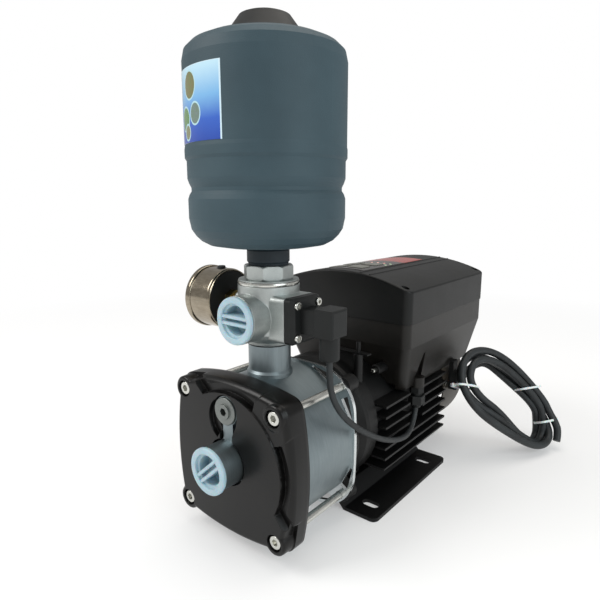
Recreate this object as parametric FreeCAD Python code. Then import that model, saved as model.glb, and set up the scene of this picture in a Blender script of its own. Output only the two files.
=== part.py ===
import FreeCAD, Part
import math
import os

# A horizontal multistage booster pump with its speed drive, discharge cross and small
# pressure tank. The origin lies on the floor at the centre of the foot's slots. The pump
# shaft runs along Y, the suction side faces -Y, and the drive and motor lie towards +Y.

# Shaft line and foot, in millimetres
SHAFT_H = 90.0
SLOT_PITCH_X = 140.0
SLOT_PITCH_Y = 125.0
SLOT_W = 11.0
SLOT_LEN = 20.0
FOOT_W = 180.0
FOOT_LEN = 172.6
FOOT_T = 4.0
FOOT_CORNER_R = 7.0
FOOT_BEND_X = 50.0
WEB_HALF_W = 37.0
WEB_RISE = 14.0

# Motor
MOTOR_FRONT_Y = -50.0
MOTOR_LEN = 152.0
MOTOR_HALF_W = 79.0
MOTOR_HALF_H = 69.0
MOTOR_CORNER_R = 26.0
TUBE_R = 64.0
CORE_BORE_R = 60.0
CORE_LEN = 100.0
CORE_FRONT_Y = -30.0
ROTOR_R = 35.0
AIR_GAP = 0.5
FIN_T = 2.6
FIN_PITCH = 12.0
SIDE_FINS = 7
LOWEST_FIN = -49.0
BOTTOM_FINS = 5
BOTTOM_FIN_PITCH = 13.0
PAD_Y = (-36.0, 72.0)
PAD_X = 26.0
PAD_R = 9.0
FOOT_SCREW_R = 4.0
SHIELD_R = 72.0
REAR_SHIELD_T = 10.0
COVER_R = 75.0
COVER_T = 1.6
COVER_LEN = 70.0
COVER_EDGE_R = 12.0
COVER_LUG_ANGLES = (5.0, 175.0, 235.0, 305.0)
GRILLE_RINGS = 4
GRILLE_SLOT_W = 4.5
GRILLE_PITCH = 11.0
GRILLE_RIB_ANGLE = 12.0
FAN_R = 58.0
FAN_BLADES = 7
FAN_W = 24.0

# Shaft and bearings
PUMP_SHAFT_R = 8.0
SEAL_SHAFT_R = 9.0
BEARING_SHAFT_R = 12.5
MOTOR_SHAFT_R = 15.0
FAN_SHAFT_R = 9.0
BEARING_OD_R = 26.0
BEARING_W = 15.0
RUN_GAP = 0.05

# Pump end
SLEEVE_R = 75.0
SLEEVE_T = 2.0
SLEEVE_LEN = 73.0
RING_T = 3.8
RING_CORNER_R = 44.0
RING_CORNER_X = 32.0
RING_BULGE = 77.0
PLATE_LEN = 27.0
PLATE_RIM_LEN = 14.0
PLATE_CORNER_R = 14.0
PLATE_BULGE = 77.0
PLATE_EDGE_R = 6.0
LOBE_R = 12.5
BOLT_SQUARE = 117.8
ROD_R = 4.0
HEAD_R = 6.5
HEAD_LEN = 8.0
HEAD_SINK = 1.2
SOCKET_R = 3.4
GROOVE_R0 = 66.0
GROOVE_R1 = 75.0
GROOVE_DEPTH = 5.0
PIPE_R = 21.0
PIPE_T = 2.6
INLET_LEN = 20.0
VENT_RISE = 50.5
VENT_R = 13.2
VENT_T = 2.6
STAGES = 3
IMPELLER_R = 50.0
IMPELLER_EYE_R = 19.0
DIFFUSER_R = 66.0
BLADES = 6

# Drive housing on top of the motor
DRIVE_FRONT_Y = -24.0
DRIVE_LEN = 212.0
DRIVE_HALF_W = 88.0
DRIVE_CORNER_R = 9.0
DRIVE_BOTTOM_Z = 118.0
DRIVE_SHOULDER_Z = 172.0
SEAM_Z = 199.0
LID_EDGE_Z = 235.0
LID_CREST_Z = 252.5
TAPER_X = 13.0
TAPER_FRONT = 17.0
TAPER_REAR = 4.0
DRIVE_WALL = 3.0
LEDGE = 0.8
LID_SCREW_INSET = 8.5
LID_SCREW_X = -26.0
PANEL_X0 = -62.0
PANEL_X1 = 21.0
PANEL_Y0 = -9.0
PANEL_LEN = 145.0
PANEL_T = 1.2
RIDGE_X = (24.0, 36.0)
RIDGE_W = 3.0
KEY_SIZE = 22.0
KEY_PITCH_X = 27.0
KEY_PITCH_Y = 30.0
KEY_TRAVEL = 0.5
KEY_GAP = 0.35

# Discharge stack, from the outlet pipe up
OUTLET_FROM_RING = 38.4
OUTLET_PIPE_RISE = 30.0
CROSS_R = 30.0
CROSS_H = 62.5
PORT_RISE = 28.0
PORT_R = 22.8
PORT_LEN = 44.0
BORE_R = 15.15
BORE_DEPTH = 18.0
SENSOR_PAD_X = 38.0
SENSOR_PAD = 44.0
SENSOR_FLANGE_T = 11.0
SENSOR_SCREW_PITCH = 30.0
GAUGE_BOSS_X = 38.0
GAUGE_R = 33.0
GAUGE_BACK_X = 54.0
GAUGE_DEPTH = 35.0
NUT_AF = 45.0
NUT_H = 13.5
NECK_R = 20.5
NECK_H = 15.5
TANK_R = 74.0
TANK_WALL = 3.0
TANK_H = 187.0
CAP_H = 19.0
CAP_R = 35.0

# Transport plugs
PLUG_FLANGE_R = 22.4
PLUG_FLANGE_T = 4.2
PLUG_FIT = 0.25
PLUG_BODY_LEN = 13.0
PLUG_WALL = 1.8
PLUG_PULL = 30.0

# Cables
SENSOR_CABLE_R = 3.0
MAINS_R = 4.8
RUN_SHARE = 0.45
RELIEF_LEN = 21.0

# Points of the sensor cable, from its plug down past the jacket and up to its gland
SENSOR_ROUTE = [
    (73.5, -146.4, 199), (73.5, -146.4, 178), (75, -146, 157), (80, -138, 137), (85, -122, 120),
    (88, -101, 105), (88, -79, 92), (87, -56, 81), (86, -33, 73), (84, -11, 69), (79, 10, 71),
    (76, 23, 82), (76, 25, 98)]

# Points of the mains cord, from its gland behind the drive's skirt to the tied coil
MAINS_ROUTE = [(83, 132, 100), (84, 156, 99), (92, 179, 100), (109, 196, 102), (129, 208.5, 100)]

# The coil leans against the drive: where its middle is, how it leans, and its outline
COIL_MIDDLE = (135.0, 150.0, 68.5)
COIL_LEAN = 25.0
COIL_TURN = 20.0
COIL_HALF_T = 10.5
COIL_EDGE_R = 6.0
COIL_OUTSIDE = [(-66, 34), (-60, 74), (-16, 88), (34, 74), (74, 22), (101, -32), (90, -70), (54, -74), (0, -44),
                (-54, -8)]
COIL_INSIDE = [(-37, 36), (-31, 58), (-6, 66), (18, 48), (48, 0), (68, -36), (40, -40), (6, -24), (-26, 6)]

# Places that follow from the sizes above
SLAB = 400.0
RING_FRONT_Y = MOTOR_FRONT_Y - 58.0
RING_BACK_Y = RING_FRONT_Y + RING_T
PLATE_BACK_Y = RING_FRONT_Y - SLEEVE_LEN
PLATE_FRONT_Y = PLATE_BACK_Y - PLATE_LEN
INLET_END_Y = PLATE_FRONT_Y - INLET_LEN
OUTLET_Y = RING_FRONT_Y - OUTLET_FROM_RING
MOTOR_BACK_Y = MOTOR_FRONT_Y + MOTOR_LEN
COVER_BACK_Y = MOTOR_BACK_Y + 2.0 + COVER_LEN
FOOT_TOP_Z = WEB_RISE + FOOT_T
DRIVE_BACK_Y = DRIVE_FRONT_Y + DRIVE_LEN
CROSS_Z0 = SHAFT_H + SLEEVE_R + OUTLET_PIPE_RISE
CROSS_Z1 = CROSS_Z0 + CROSS_H
PORT_Z = CROSS_Z0 + PORT_RISE
PORT_Y = OUTLET_Y - PORT_LEN
NUT_Z1 = CROSS_Z1 + NUT_H
TANK_Z0 = NUT_Z1 + NECK_H
TANK_Z1 = TANK_Z0 + TANK_H
COVER_IN_R = COVER_R - COVER_T
CORE_BACK_Y = CORE_FRONT_Y + CORE_LEN
BEARING_FRONT_Y = MOTOR_FRONT_Y - 19.0
BEARING_REAR_Y = MOTOR_BACK_Y - 14.0
STAGE_FRONT_Y = PLATE_BACK_Y + 6.0
BACK_COVER_Y = RING_FRONT_Y - 9.0
STAGE_PITCH = (BACK_COVER_Y - STAGE_FRONT_Y) / STAGES
HALF_SQUARE = BOLT_SQUARE / 2
ROD_CORNERS = [(sx, sz) for sx in (-1, 1) for sz in (-1, 1)]


def vec(x, y, z):
    return FreeCAD.Vector(x, y, z)


def box(x0, x1, y0, y1, z0, z1):
    return Part.makeBox(x1 - x0, y1 - y0, z1 - z0, vec(x0, y0, z0))


def rod_x(r, x0, x1, y=0.0, z=0.0):
    return Part.makeCylinder(r, x1 - x0, vec(x0, y, z), vec(1, 0, 0))


def rod_y(r, y0, y1, x=0.0, z=SHAFT_H):
    return Part.makeCylinder(r, y1 - y0, vec(x, y0, z), vec(0, 1, 0))


def rod_z(r, z0, z1, x=0.0, y=OUTLET_Y):
    return Part.makeCylinder(r, z1 - z0, vec(x, y, z0), vec(0, 0, 1))


def ring_y(r0, r1, y0, y1, x=0.0, z=SHAFT_H):
    return rod_y(r1, y0, y1, x, z).cut(rod_y(r0, y0 - 1, y1 + 1, x, z))


def turn_y(profile):
    """Solid turned about the shaft line from (radius, y) points."""
    points = [vec(r, y, SHAFT_H) for r, y in profile]
    face = Part.Face(Part.makePolygon(points + points[:1]))
    return face.revolve(vec(0, 0, SHAFT_H), vec(0, 1, 0), 360)


def turn_z(profile, y=OUTLET_Y):
    """Solid turned about the discharge stack's axis from (radius, z) points."""
    points = [vec(r, y, z) for r, z in profile]
    face = Part.Face(Part.makePolygon(points + points[:1]))
    return face.revolve(vec(0, y, 0), vec(0, 0, 1), 360)


def hex_prism(across_flats, start, direction, length, turn=0.0, sides=6):
    """Regular bar, six-sided unless told otherwise, from a start point along a direction."""
    r = across_flats / 2 / math.cos(math.pi / sides)
    corners = []
    for k in range(sides + 1):
        a = math.radians(360 / sides * k + turn)
        corners.append(vec(r * math.cos(a), r * math.sin(a), 0))
    prism = Part.Face(Part.makePolygon(corners)).extrude(vec(0, 0, length))
    prism.Placement = FreeCAD.Placement(start, FreeCAD.Rotation(vec(0, 0, 1), direction))
    return prism


def rounded_rect(x0, x1, y0, y1, r, z):
    """Horizontal rounded rectangle as a wire at height z."""
    edges = []
    corners = [(x1 - r, y1 - r, 0), (x0 + r, y1 - r, 90), (x0 + r, y0 + r, 180), (x1 - r, y0 + r, 270)]
    ends = []
    for cx, cy, a in corners:
        p = []
        for k in (0, 45, 90):
            t = math.radians(a + k)
            p.append(vec(cx + r * math.cos(t), cy + r * math.sin(t), z))
        ends.append(p)
    for k in range(4):
        start, middle, end = ends[k]
        edges.append(Part.Arc(start, middle, end).toShape())
        edges.append(Part.LineSegment(end, ends[(k + 1) % 4][0]).toShape())
    return Part.Wire(edges)


def bulged_square(corner_x, corner_r, bulge, y0, y1):
    """Plate whose four sides bow out between round corners, centred on the shaft line."""
    g = bulge - corner_r
    c = (2 * corner_x ** 2 - g ** 2) / (2 * (g - corner_x))
    big_r = bulge + c
    reach = math.hypot(corner_x, corner_x + c)
    tx = corner_x / reach * big_r
    tz = (corner_x + c) / reach * big_r - c
    d = corner_x + corner_r * math.sqrt(0.5)
    edges = []
    for k in range(4):
        a = math.radians(90 * k)
        ca = math.cos(a)
        sa = math.sin(a)
        pts = [(tx, tz), (0, bulge), (-tx, tz), (-d, d), (-tz, tx)]
        world = [vec(x * ca - z * sa, y0, SHAFT_H + x * sa + z * ca) for x, z in pts]
        edges.append(Part.Arc(world[0], world[1], world[2]).toShape())
        edges.append(Part.Arc(world[2], world[3], world[4]).toShape())
    return Part.Face(Part.Wire(edges)).extrude(vec(0, y1 - y0, 0))


def ring_sector(r0, r1, a0, a1, y0, y1, cx=0.0, cz=SHAFT_H):
    """Part of a flat ring between two angles, in degrees from +X towards +Z."""
    def at(r, a):
        t = math.radians(a)
        return vec(cx + r * math.cos(t), y0, cz + r * math.sin(t))
    mid = (a0 + a1) / 2
    edges = [
        Part.Arc(at(r0, a0), at(r0, mid), at(r0, a1)).toShape(),
        Part.LineSegment(at(r0, a1), at(r1, a1)).toShape(),
        Part.Arc(at(r1, a1), at(r1, mid), at(r1, a0)).toShape(),
        Part.LineSegment(at(r1, a0), at(r0, a0)).toShape(),
    ]
    return Part.Face(Part.Wire(edges)).extrude(vec(0, y1 - y0, 0))


def flat_shape(points, y0, y1):
    """Prism along Y from (x, height over the shaft) points."""
    world = [vec(x, y0, SHAFT_H + z) for x, z in points]
    return Part.Face(Part.makePolygon(world + world[:1])).extrude(vec(0, y1 - y0, 0))


def corner_arc(before, corner, after):
    """Ends, middle and radius of the arc that rounds one point of a route."""
    a = before - corner
    b = after - corner
    run = min(a.Length, b.Length)
    half_turn = (math.pi - a.getAngle(b)) / 2
    radius = RUN_SHARE * run / math.tan(half_turn)
    back = radius * math.tan(half_turn)
    a.normalize()
    b.normalize()
    inward = a + b
    inward.normalize()
    depth = radius / math.cos(half_turn) - radius
    return corner + a * back, corner + inward * depth, corner + b * back, radius


def smooth_route(points, closed=False):
    """Wire of straight runs joined by tangent arcs, and the radii of its arcs."""
    n = len(points)
    arcs = []
    first = 0 if closed else 1
    last = n if closed else n - 1
    for k in range(first, last):
        arcs.append(corner_arc(points[k - 1], points[k], points[(k + 1) % n]))
    start = arcs[-1][2] if closed else points[0]
    edges = []
    for p0, middle, p1, radius in arcs:
        edges.append(Part.LineSegment(start, p0).toShape())
        edges.append(Part.Arc(p0, middle, p1).toShape())
        start = p1
    if not closed:
        edges.append(Part.LineSegment(start, points[-1]).toShape())
    return Part.Wire(edges), [arc[3] for arc in arcs]


def cord_tube(name, route, radius):
    """Round cord along a route; prints its radii and how true its volume is."""
    points = [vec(*p) for p in route]
    wire, radii = smooth_route(points)
    along = points[1] - points[0]
    ring = Part.Wire(Part.makeCircle(radius, points[0], along))
    tube = wire.makePipeShell([ring], True, False)
    share = tube.Volume / (math.pi * radius ** 2 * wire.Length)
    print(name, "length %.0f" % wire.Length, "radii", [round(r) for r in radii], "volume share %.3f" % share)
    return tube


def fillet_where(shape, radius, test):
    edges = [e for e in shape.Edges if test(e)]
    return shape.makeFillet(radius, edges)


def save(name, *solids):
    """Write one node; several solids become a group in one file."""
    flat = []
    for s in solids:
        flat.extend(s.Solids)
    shape = flat[0] if len(flat) == 1 else Part.makeCompound(flat)
    shape.exportStep("parts/" + name + ".step")


# Pump end

def front_plate():
    """Black cast clamping plate with corner lobes, keyhole window and curved grooves."""
    step_y = PLATE_BACK_Y - PLATE_RIM_LEN
    rim = bulged_square(HALF_SQUARE, PLATE_CORNER_R, PLATE_BULGE, step_y, PLATE_BACK_Y)
    rim = fillet_where(rim, PLATE_EDGE_R, lambda e: e.BoundBox.YMax < step_y + 0.01)
    face = rod_y(PLATE_BULGE - 1.0, PLATE_FRONT_Y, step_y + 1)
    for sx, sz in ROD_CORNERS:
        lobe = rod_y(LOBE_R, PLATE_FRONT_Y, step_y + 1, sx * HALF_SQUARE, SHAFT_H + sz * HALF_SQUARE)
        face = face.fuse(lobe)
    face = face.removeSplitter()
    face = fillet_where(face, PLATE_EDGE_R - 1, lambda e: (
        e.BoundBox.YMax - e.BoundBox.YMin > 5 and abs(e.BoundBox.YMin - PLATE_FRONT_Y) < 0.01))
    face = fillet_where(face, PLATE_EDGE_R - 1.5, lambda e: e.BoundBox.YMax < PLATE_FRONT_Y + 0.01)
    plate = rim.fuse(face).removeSplitter()
    for sx, sz in ROD_CORNERS:
        x = sx * HALF_SQUARE
        z = SHAFT_H + sz * HALF_SQUARE
        plate = plate.cut(rod_y(ROD_R + 0.5, PLATE_FRONT_Y - 1, PLATE_BACK_Y + 1, x, z))
        seat_y = PLATE_FRONT_Y + HEAD_SINK + HEAD_LEN
        plate = plate.cut(rod_y(HEAD_R + 1.2, PLATE_FRONT_Y - 1, seat_y, x, z))
    pocket = rod_y(SLEEVE_R - SLEEVE_T + 0.3, PLATE_FRONT_Y + 7.5, PLATE_BACK_Y + 1)
    keyhole = rod_y(PIPE_R + 1.2, PLATE_FRONT_Y - 1, PLATE_BACK_Y)
    keyhole = keyhole.fuse(rod_y(VENT_R + 1.8, PLATE_FRONT_Y - 1, PLATE_BACK_Y, 0, SHAFT_H + VENT_RISE))
    keyhole = keyhole.fuse(box(-8, 8, PLATE_FRONT_Y - 1, PLATE_BACK_Y, SHAFT_H + 10, SHAFT_H + VENT_RISE))
    plate = plate.cut(pocket).cut(keyhole)
    return plate.cut(plate_grooves())


def plate_grooves():
    """Two mirrored arc grooves that run out to a corner, and a crescent by the vent."""
    y0 = PLATE_FRONT_Y - 1
    y1 = PLATE_FRONT_Y + GROOVE_DEPTH
    cuts = ring_sector(GROOVE_R0, GROOVE_R1, 58, 106, y0, y1)
    cuts = cuts.fuse(ring_sector(GROOVE_R0, GROOVE_R1, -16, 32, y0, y1))
    run = [(-17.5, 66.5), (-39.5, 55.5), (-53, 74), (-43, 80), (-24, 72)]
    cuts = cuts.fuse(flat_shape(run, y0, y1))
    mirrored = [(z, x) for x, z in run]
    cuts = cuts.fuse(flat_shape(mirrored, y0, y1))
    crescent = ring_sector(VENT_R + 1.8, VENT_R + 7.5, 105, 250, y0, y1 - 1, 0, SHAFT_H + VENT_RISE)
    return cuts.fuse(crescent)


def inlet_cover():
    """Stainless front casing with the suction pipe, its thread bore and the vent boss."""
    y0 = PLATE_FRONT_Y + 8.0
    inner = SLEEVE_R - SLEEVE_T - 0.3
    cover = rod_y(inner, y0, PLATE_BACK_Y + 6)
    cover = cover.cut(rod_y(DIFFUSER_R - 4, y0 + 8, PLATE_BACK_Y + 7))
    cover = cover.fuse(rod_y(PIPE_R, INLET_END_Y, y0 + 2))
    vent_z = SHAFT_H + VENT_RISE
    cover = cover.fuse(rod_y(VENT_R + 0.8, PLATE_FRONT_Y + 1.6, y0 + 2, 0, vent_z))
    cover = cover.fuse(box(-6.5, 6.5, PLATE_FRONT_Y + 3.0, y0 + 2, SHAFT_H + 12, vent_z))
    cover = cover.cut(rod_y(BORE_R, INLET_END_Y - 1, INLET_END_Y + BORE_DEPTH))
    cover = cover.cut(rod_y(BORE_R - 1.2, INLET_END_Y, y0 + 9))
    return cover.cut(rod_y(5.3, PLATE_FRONT_Y, y0 + 9, 0, vent_z)).removeSplitter()


def vent_plug():
    """Priming plug: a flat disc head with a raised hexagon socket boss and a threaded body."""
    y0 = PLATE_FRONT_Y + 1.6 - VENT_T
    z = SHAFT_H + VENT_RISE
    plug = rod_y(VENT_R, y0, y0 + VENT_T, 0, z)
    plug = plug.fuse(rod_y(7.2, y0 - 1.6, y0 + 1, 0, z))
    plug = plug.fuse(rod_y(5.2, y0 + 1, y0 + VENT_T + 9, 0, z))
    plug = plug.cut(hex_prism(7.0, vec(0, y0 - 2, z), vec(0, 1, 0), 7.0))
    return fillet_where(plug, 0.8, lambda e: e.BoundBox.YMax < y0 + 0.01 and e.BoundBox.XLength > 20)


def tie_rods():
    """Four long socket-head screws that clamp the pump between plate and motor shield."""
    rods = []
    head_y = PLATE_FRONT_Y + HEAD_SINK
    for sx, sz in ROD_CORNERS:
        x = sx * HALF_SQUARE
        z = SHAFT_H + sz * HALF_SQUARE
        rod = rod_y(ROD_R, head_y + 1, RING_BACK_Y + 14, x, z)
        head = rod_y(HEAD_R, head_y, head_y + HEAD_LEN, x, z)
        head = fillet_where(head, 0.8, lambda e: e.BoundBox.YMax < head_y + 0.01)
        rod = rod.fuse(head)
        rods.append(rod.cut(hex_prism(2 * SOCKET_R * 0.9, vec(x, head_y - 1, z), vec(0, 1, 0), 5.0)))
    return rods


def pump_sleeve():
    """Rolled stainless jacket with the outlet pipe welded in its top."""
    z1 = CROSS_Z0
    weld_z = SHAFT_H + math.sqrt(SLEEVE_R ** 2 - PIPE_R ** 2)
    shell = rod_y(SLEEVE_R, PLATE_BACK_Y, RING_FRONT_Y)
    pipe = rod_z(PIPE_R, SHAFT_H + 20, z1)
    weld = turn_z([(PIPE_R - 1, weld_z - 2), (PIPE_R + 1.6, weld_z - 2), (PIPE_R + 1.6, weld_z + 4.0),
                   (PIPE_R, weld_z + 6.6), (PIPE_R - 1, weld_z + 6.6)])
    body = shell.fuse(pipe).fuse(weld)
    body = body.cut(rod_y(SLEEVE_R - SLEEVE_T, PLATE_BACK_Y - 1, RING_FRONT_Y + 1))
    body = body.cut(rod_z(PIPE_R - PIPE_T, SHAFT_H + SLEEVE_R - 12, z1 + 1))
    return body.removeSplitter()


def flange_ring():
    """Polished steel ring plate behind the jacket, with windows beside each tie rod."""
    ring = bulged_square(RING_CORNER_X, RING_CORNER_R, RING_BULGE, RING_FRONT_Y, RING_BACK_Y)
    ring = ring.cut(rod_y(SLEEVE_R - 6, RING_FRONT_Y - 1, RING_BACK_Y + 1))
    reach = HALF_SQUARE * math.sqrt(2)
    for k in range(4):
        for side in (-1, 1):
            ring = ring.cut(ring_window(45 + 90 * k, side, reach))
    for sx, sz in ROD_CORNERS:
        x = sx * HALF_SQUARE
        z = SHAFT_H + sz * HALF_SQUARE
        ring = ring.cut(rod_y(ROD_R + 0.3, RING_FRONT_Y - 1, RING_BACK_Y + 1, x, z))
    return ring


def ring_window(centre_angle, side, reach):
    """Long triangular window that narrows away from its tie rod."""
    inner = SLEEVE_R + 1.4
    corners = [(inner, 7.5), (reach + 1.6, 8.0), (reach - 1.0, 14.0), (inner + 2.4, 27.0), (inner, 27.0)]
    points = []
    for r, a in corners:
        t = math.radians(centre_angle + side * a)
        points.append((r * math.cos(t), r * math.sin(t)))
    return flat_shape(points, RING_FRONT_Y - 1, RING_BACK_Y + 1)


def impeller(y0):
    """Closed impeller: two shrouds with backward-curved blades between them and a hub."""
    hub = turn_y([(PUMP_SHAFT_R + 0.02, y0), (12, y0), (12, y0 + 12), (PUMP_SHAFT_R + 0.02, y0 + 12)])
    front = turn_y([(IMPELLER_EYE_R, y0), (IMPELLER_EYE_R + 2, y0), (IMPELLER_EYE_R + 3, y0 + 3),
                    (IMPELLER_R, y0 + 4.5), (IMPELLER_R, y0 + 6), (IMPELLER_EYE_R, y0 + 4.8)])
    back = turn_y([(11, y0 + 10.5), (IMPELLER_R, y0 + 10.5), (IMPELLER_R, y0 + 12), (11, y0 + 12)])
    wheel = hub.fuse(back)
    for k in range(BLADES):
        wheel = wheel.fuse(impeller_blade(y0, 360 / BLADES * k))
    return wheel.fuse(front)


def impeller_blade(y0, start):
    """One curved blade between the shrouds, from the eye out to the rim."""
    inner = []
    outer = []
    for r, a in ((IMPELLER_EYE_R - 1, 0), (IMPELLER_R * 0.66, 34), (IMPELLER_R - 0.5, 78)):
        t = math.radians(start - a)
        inner.append(vec(r * math.cos(t), y0 + 4, SHAFT_H + r * math.sin(t)))
        t = math.radians(start - a + 80 / r)
        outer.append(vec(r * math.cos(t), y0 + 4, SHAFT_H + r * math.sin(t)))
    edges = [
        Part.Arc(inner[0], inner[1], inner[2]).toShape(),
        Part.LineSegment(inner[2], outer[2]).toShape(),
        Part.Arc(outer[2], outer[1], outer[0]).toShape(),
        Part.LineSegment(outer[0], inner[0]).toShape(),
    ]
    return Part.Face(Part.Wire(edges)).extrude(vec(0, 7, 0))


def diffuser(y0):
    """Stage cup that turns the flow back to the shaft, open at the rim for the next stage."""
    y1 = y0 + STAGE_PITCH
    cup = turn_y([(DIFFUSER_R - 2, y0), (DIFFUSER_R, y0), (DIFFUSER_R, y1), (14, y1), (14, y1 - 2),
                  (DIFFUSER_R - 2, y1 - 2)])
    return cup


def stage_y(k):
    return STAGE_FRONT_Y + STAGE_PITCH * k


def pump_back_cover():
    """Stainless rear casing that closes the jacket and carries the fixed seal ring."""
    y0 = BACK_COVER_Y
    inner = SLEEVE_R - SLEEVE_T - 0.3
    return turn_y([(18, y0), (inner, y0), (inner, RING_FRONT_Y), (SLEEVE_R - 6.3, RING_FRONT_Y),
                   (SLEEVE_R - 6.3, RING_BACK_Y), (18, RING_BACK_Y)])


def shaft():
    """Stepped shaft shared by pump and motor."""
    steps = [
        (PUMP_SHAFT_R, PLATE_BACK_Y + 2, RING_FRONT_Y - 12),
        (SEAL_SHAFT_R, RING_FRONT_Y - 12, BEARING_FRONT_Y),
        (BEARING_SHAFT_R, BEARING_FRONT_Y, BEARING_FRONT_Y + BEARING_W),
        (MOTOR_SHAFT_R, BEARING_FRONT_Y + BEARING_W, BEARING_REAR_Y),
        (BEARING_SHAFT_R, BEARING_REAR_Y, BEARING_REAR_Y + BEARING_W),
        (FAN_SHAFT_R, BEARING_REAR_Y + BEARING_W, MOTOR_BACK_Y + 48),
    ]
    profile = [(0, steps[0][1])]
    for r, y0, y1 in steps:
        profile.append((r, y0))
        profile.append((r, y1))
    profile.append((0, steps[-1][2]))
    return turn_y(profile)


def collar_y(r0, r1, y0, y1):
    return turn_y([(r0, y0), (r1, y0), (r1, y1), (r0, y1)])


# Motor

def front_shield():
    """Cast motor shield with the pump flange, four rod bosses and a bell."""
    y0 = RING_BACK_Y
    bell = turn_y([
        (28, y0), (SHIELD_R + 1, y0), (SHIELD_R + 1, y0 + 11), (SHIELD_R - 5, y0 + 14),
        (SHIELD_R - 6, y0 + 24), (SHIELD_R - 1, y0 + 29), (SHIELD_R, y0 + 34), (SHIELD_R, y0 + 49),
        (SHIELD_R - 4, MOTOR_FRONT_Y), (34, MOTOR_FRONT_Y), (34, MOTOR_FRONT_Y - 3),
        (BEARING_OD_R + 0.02, MOTOR_FRONT_Y - 3), (BEARING_OD_R + 0.02, BEARING_FRONT_Y),
        (22, BEARING_FRONT_Y), (22, y0 + 22), (56, y0 + 22), (56, y0 + 8), (28, y0 + 8)])
    for sx, sz in ROD_CORNERS:
        x = sx * HALF_SQUARE
        z = SHAFT_H + sz * HALF_SQUARE
        bell = bell.fuse(rod_y(ROD_R + 5, y0, y0 + 16, x, z))
        a = math.degrees(math.atan2(sz, sx))
        bell = bell.fuse(ring_sector(SHIELD_R - 12, HALF_SQUARE * math.sqrt(2), a - 6, a + 6, y0, y0 + 14))
        bell = bell.cut(rod_y(ROD_R + 0.1, y0 - 1, y0 + 17, x, z))
    return bell.removeSplitter()


def motor_envelope(y0, y1):
    """Rounded block that trims the fins of the motor housing."""
    z0 = SHAFT_H - MOTOR_HALF_H
    z1 = SHAFT_H + MOTOR_HALF_H
    wire = rounded_rect(-MOTOR_HALF_W, MOTOR_HALF_W, -z1, -z0, MOTOR_CORNER_R, 0)
    block = Part.Face(wire).extrude(vec(0, 0, y1 - y0))
    block.Placement = FreeCAD.Placement(vec(0, y0, 0), FreeCAD.Rotation(vec(1, 0, 0), -90))
    return block


def motor_housing():
    """Aluminium housing: a tube with level cooling fins, foot pads and a bottom rib comb."""
    y0 = MOTOR_FRONT_Y
    y1 = MOTOR_BACK_Y
    body = rod_y(TUBE_R, y0, y1)
    fins = []
    for k in range(SIDE_FINS):
        z = SHAFT_H + LOWEST_FIN + FIN_PITCH * k
        for side in (-1, 1):
            x0 = min(side * 20, side * SLAB)
            x1 = max(side * 20, side * SLAB)
            fins.append(box(x0, x1, y0, y1, z - FIN_T / 2, z + FIN_T / 2))
    for k in range(BOTTOM_FINS):
        x = (k - (BOTTOM_FINS - 1) / 2) * BOTTOM_FIN_PITCH
        fins.append(box(x - FIN_T / 2, x + FIN_T / 2, y0, y1, 0, SHAFT_H - 20))
    trimmed = Part.makeCompound(fins).common(motor_envelope(y0, y1))
    body = body.fuse(trimmed.Solids)
    for y in PAD_Y:
        for side in (-1, 1):
            body = body.fuse(rod_z(PAD_R, FOOT_TOP_Z, SHAFT_H - 40, side * PAD_X, y))
    gx, gy, gz = SENSOR_GLAND
    body = body.cut(box(gx - 10.5, SLAB, gy - 20, gy + 12, gz - 44, SHAFT_H + MOTOR_HALF_H))
    body = body.cut(rod_y(CORE_BORE_R + 0.02, y0 - 1, y1 + 1))
    for y in PAD_Y:
        for side in (-1, 1):
            body = body.cut(rod_z(FOOT_SCREW_R + 0.1, FOOT_TOP_Z - 1, FOOT_TOP_Z + 12, side * PAD_X, y))
    return body.removeSplitter()


def stator_core():
    core = ring_y(ROTOR_R + AIR_GAP, CORE_BORE_R, CORE_FRONT_Y, CORE_BACK_Y)
    for k in range(24):
        a = math.radians(15 * k)
        slot = rod_y(2.2, CORE_FRONT_Y - 1, CORE_BACK_Y + 1, 42 * math.cos(a), SHAFT_H + 42 * math.sin(a))
        core = core.cut(slot)
    return core


def winding_heads():
    """Copper coil heads, one bundle at each end of the core."""
    heads = []
    for y0, y1 in ((CORE_FRONT_Y - 15, CORE_FRONT_Y), (CORE_BACK_Y, CORE_BACK_Y + 15)):
        lean = 2 if y0 < CORE_FRONT_Y else -2
        heads.append(turn_y([(40, y0 + max(-lean, 0)), (54, y0 + max(lean, 0)), (56, (y0 + y1) / 2),
                             (54, y1 - max(-lean, 0)), (40, y1 - max(lean, 0))]))
    return heads


def rotor_core():
    """Laminated rotor with cast end rings."""
    bore = MOTOR_SHAFT_R + 0.02
    body = collar_y(bore, ROTOR_R, CORE_FRONT_Y, CORE_BACK_Y)
    front = collar_y(ROTOR_R - 11, ROTOR_R - 2, CORE_FRONT_Y - 7, CORE_FRONT_Y)
    rear = collar_y(ROTOR_R - 11, ROTOR_R - 2, CORE_BACK_Y, CORE_BACK_Y + 7)
    return body.fuse(front).fuse(rear)


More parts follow.
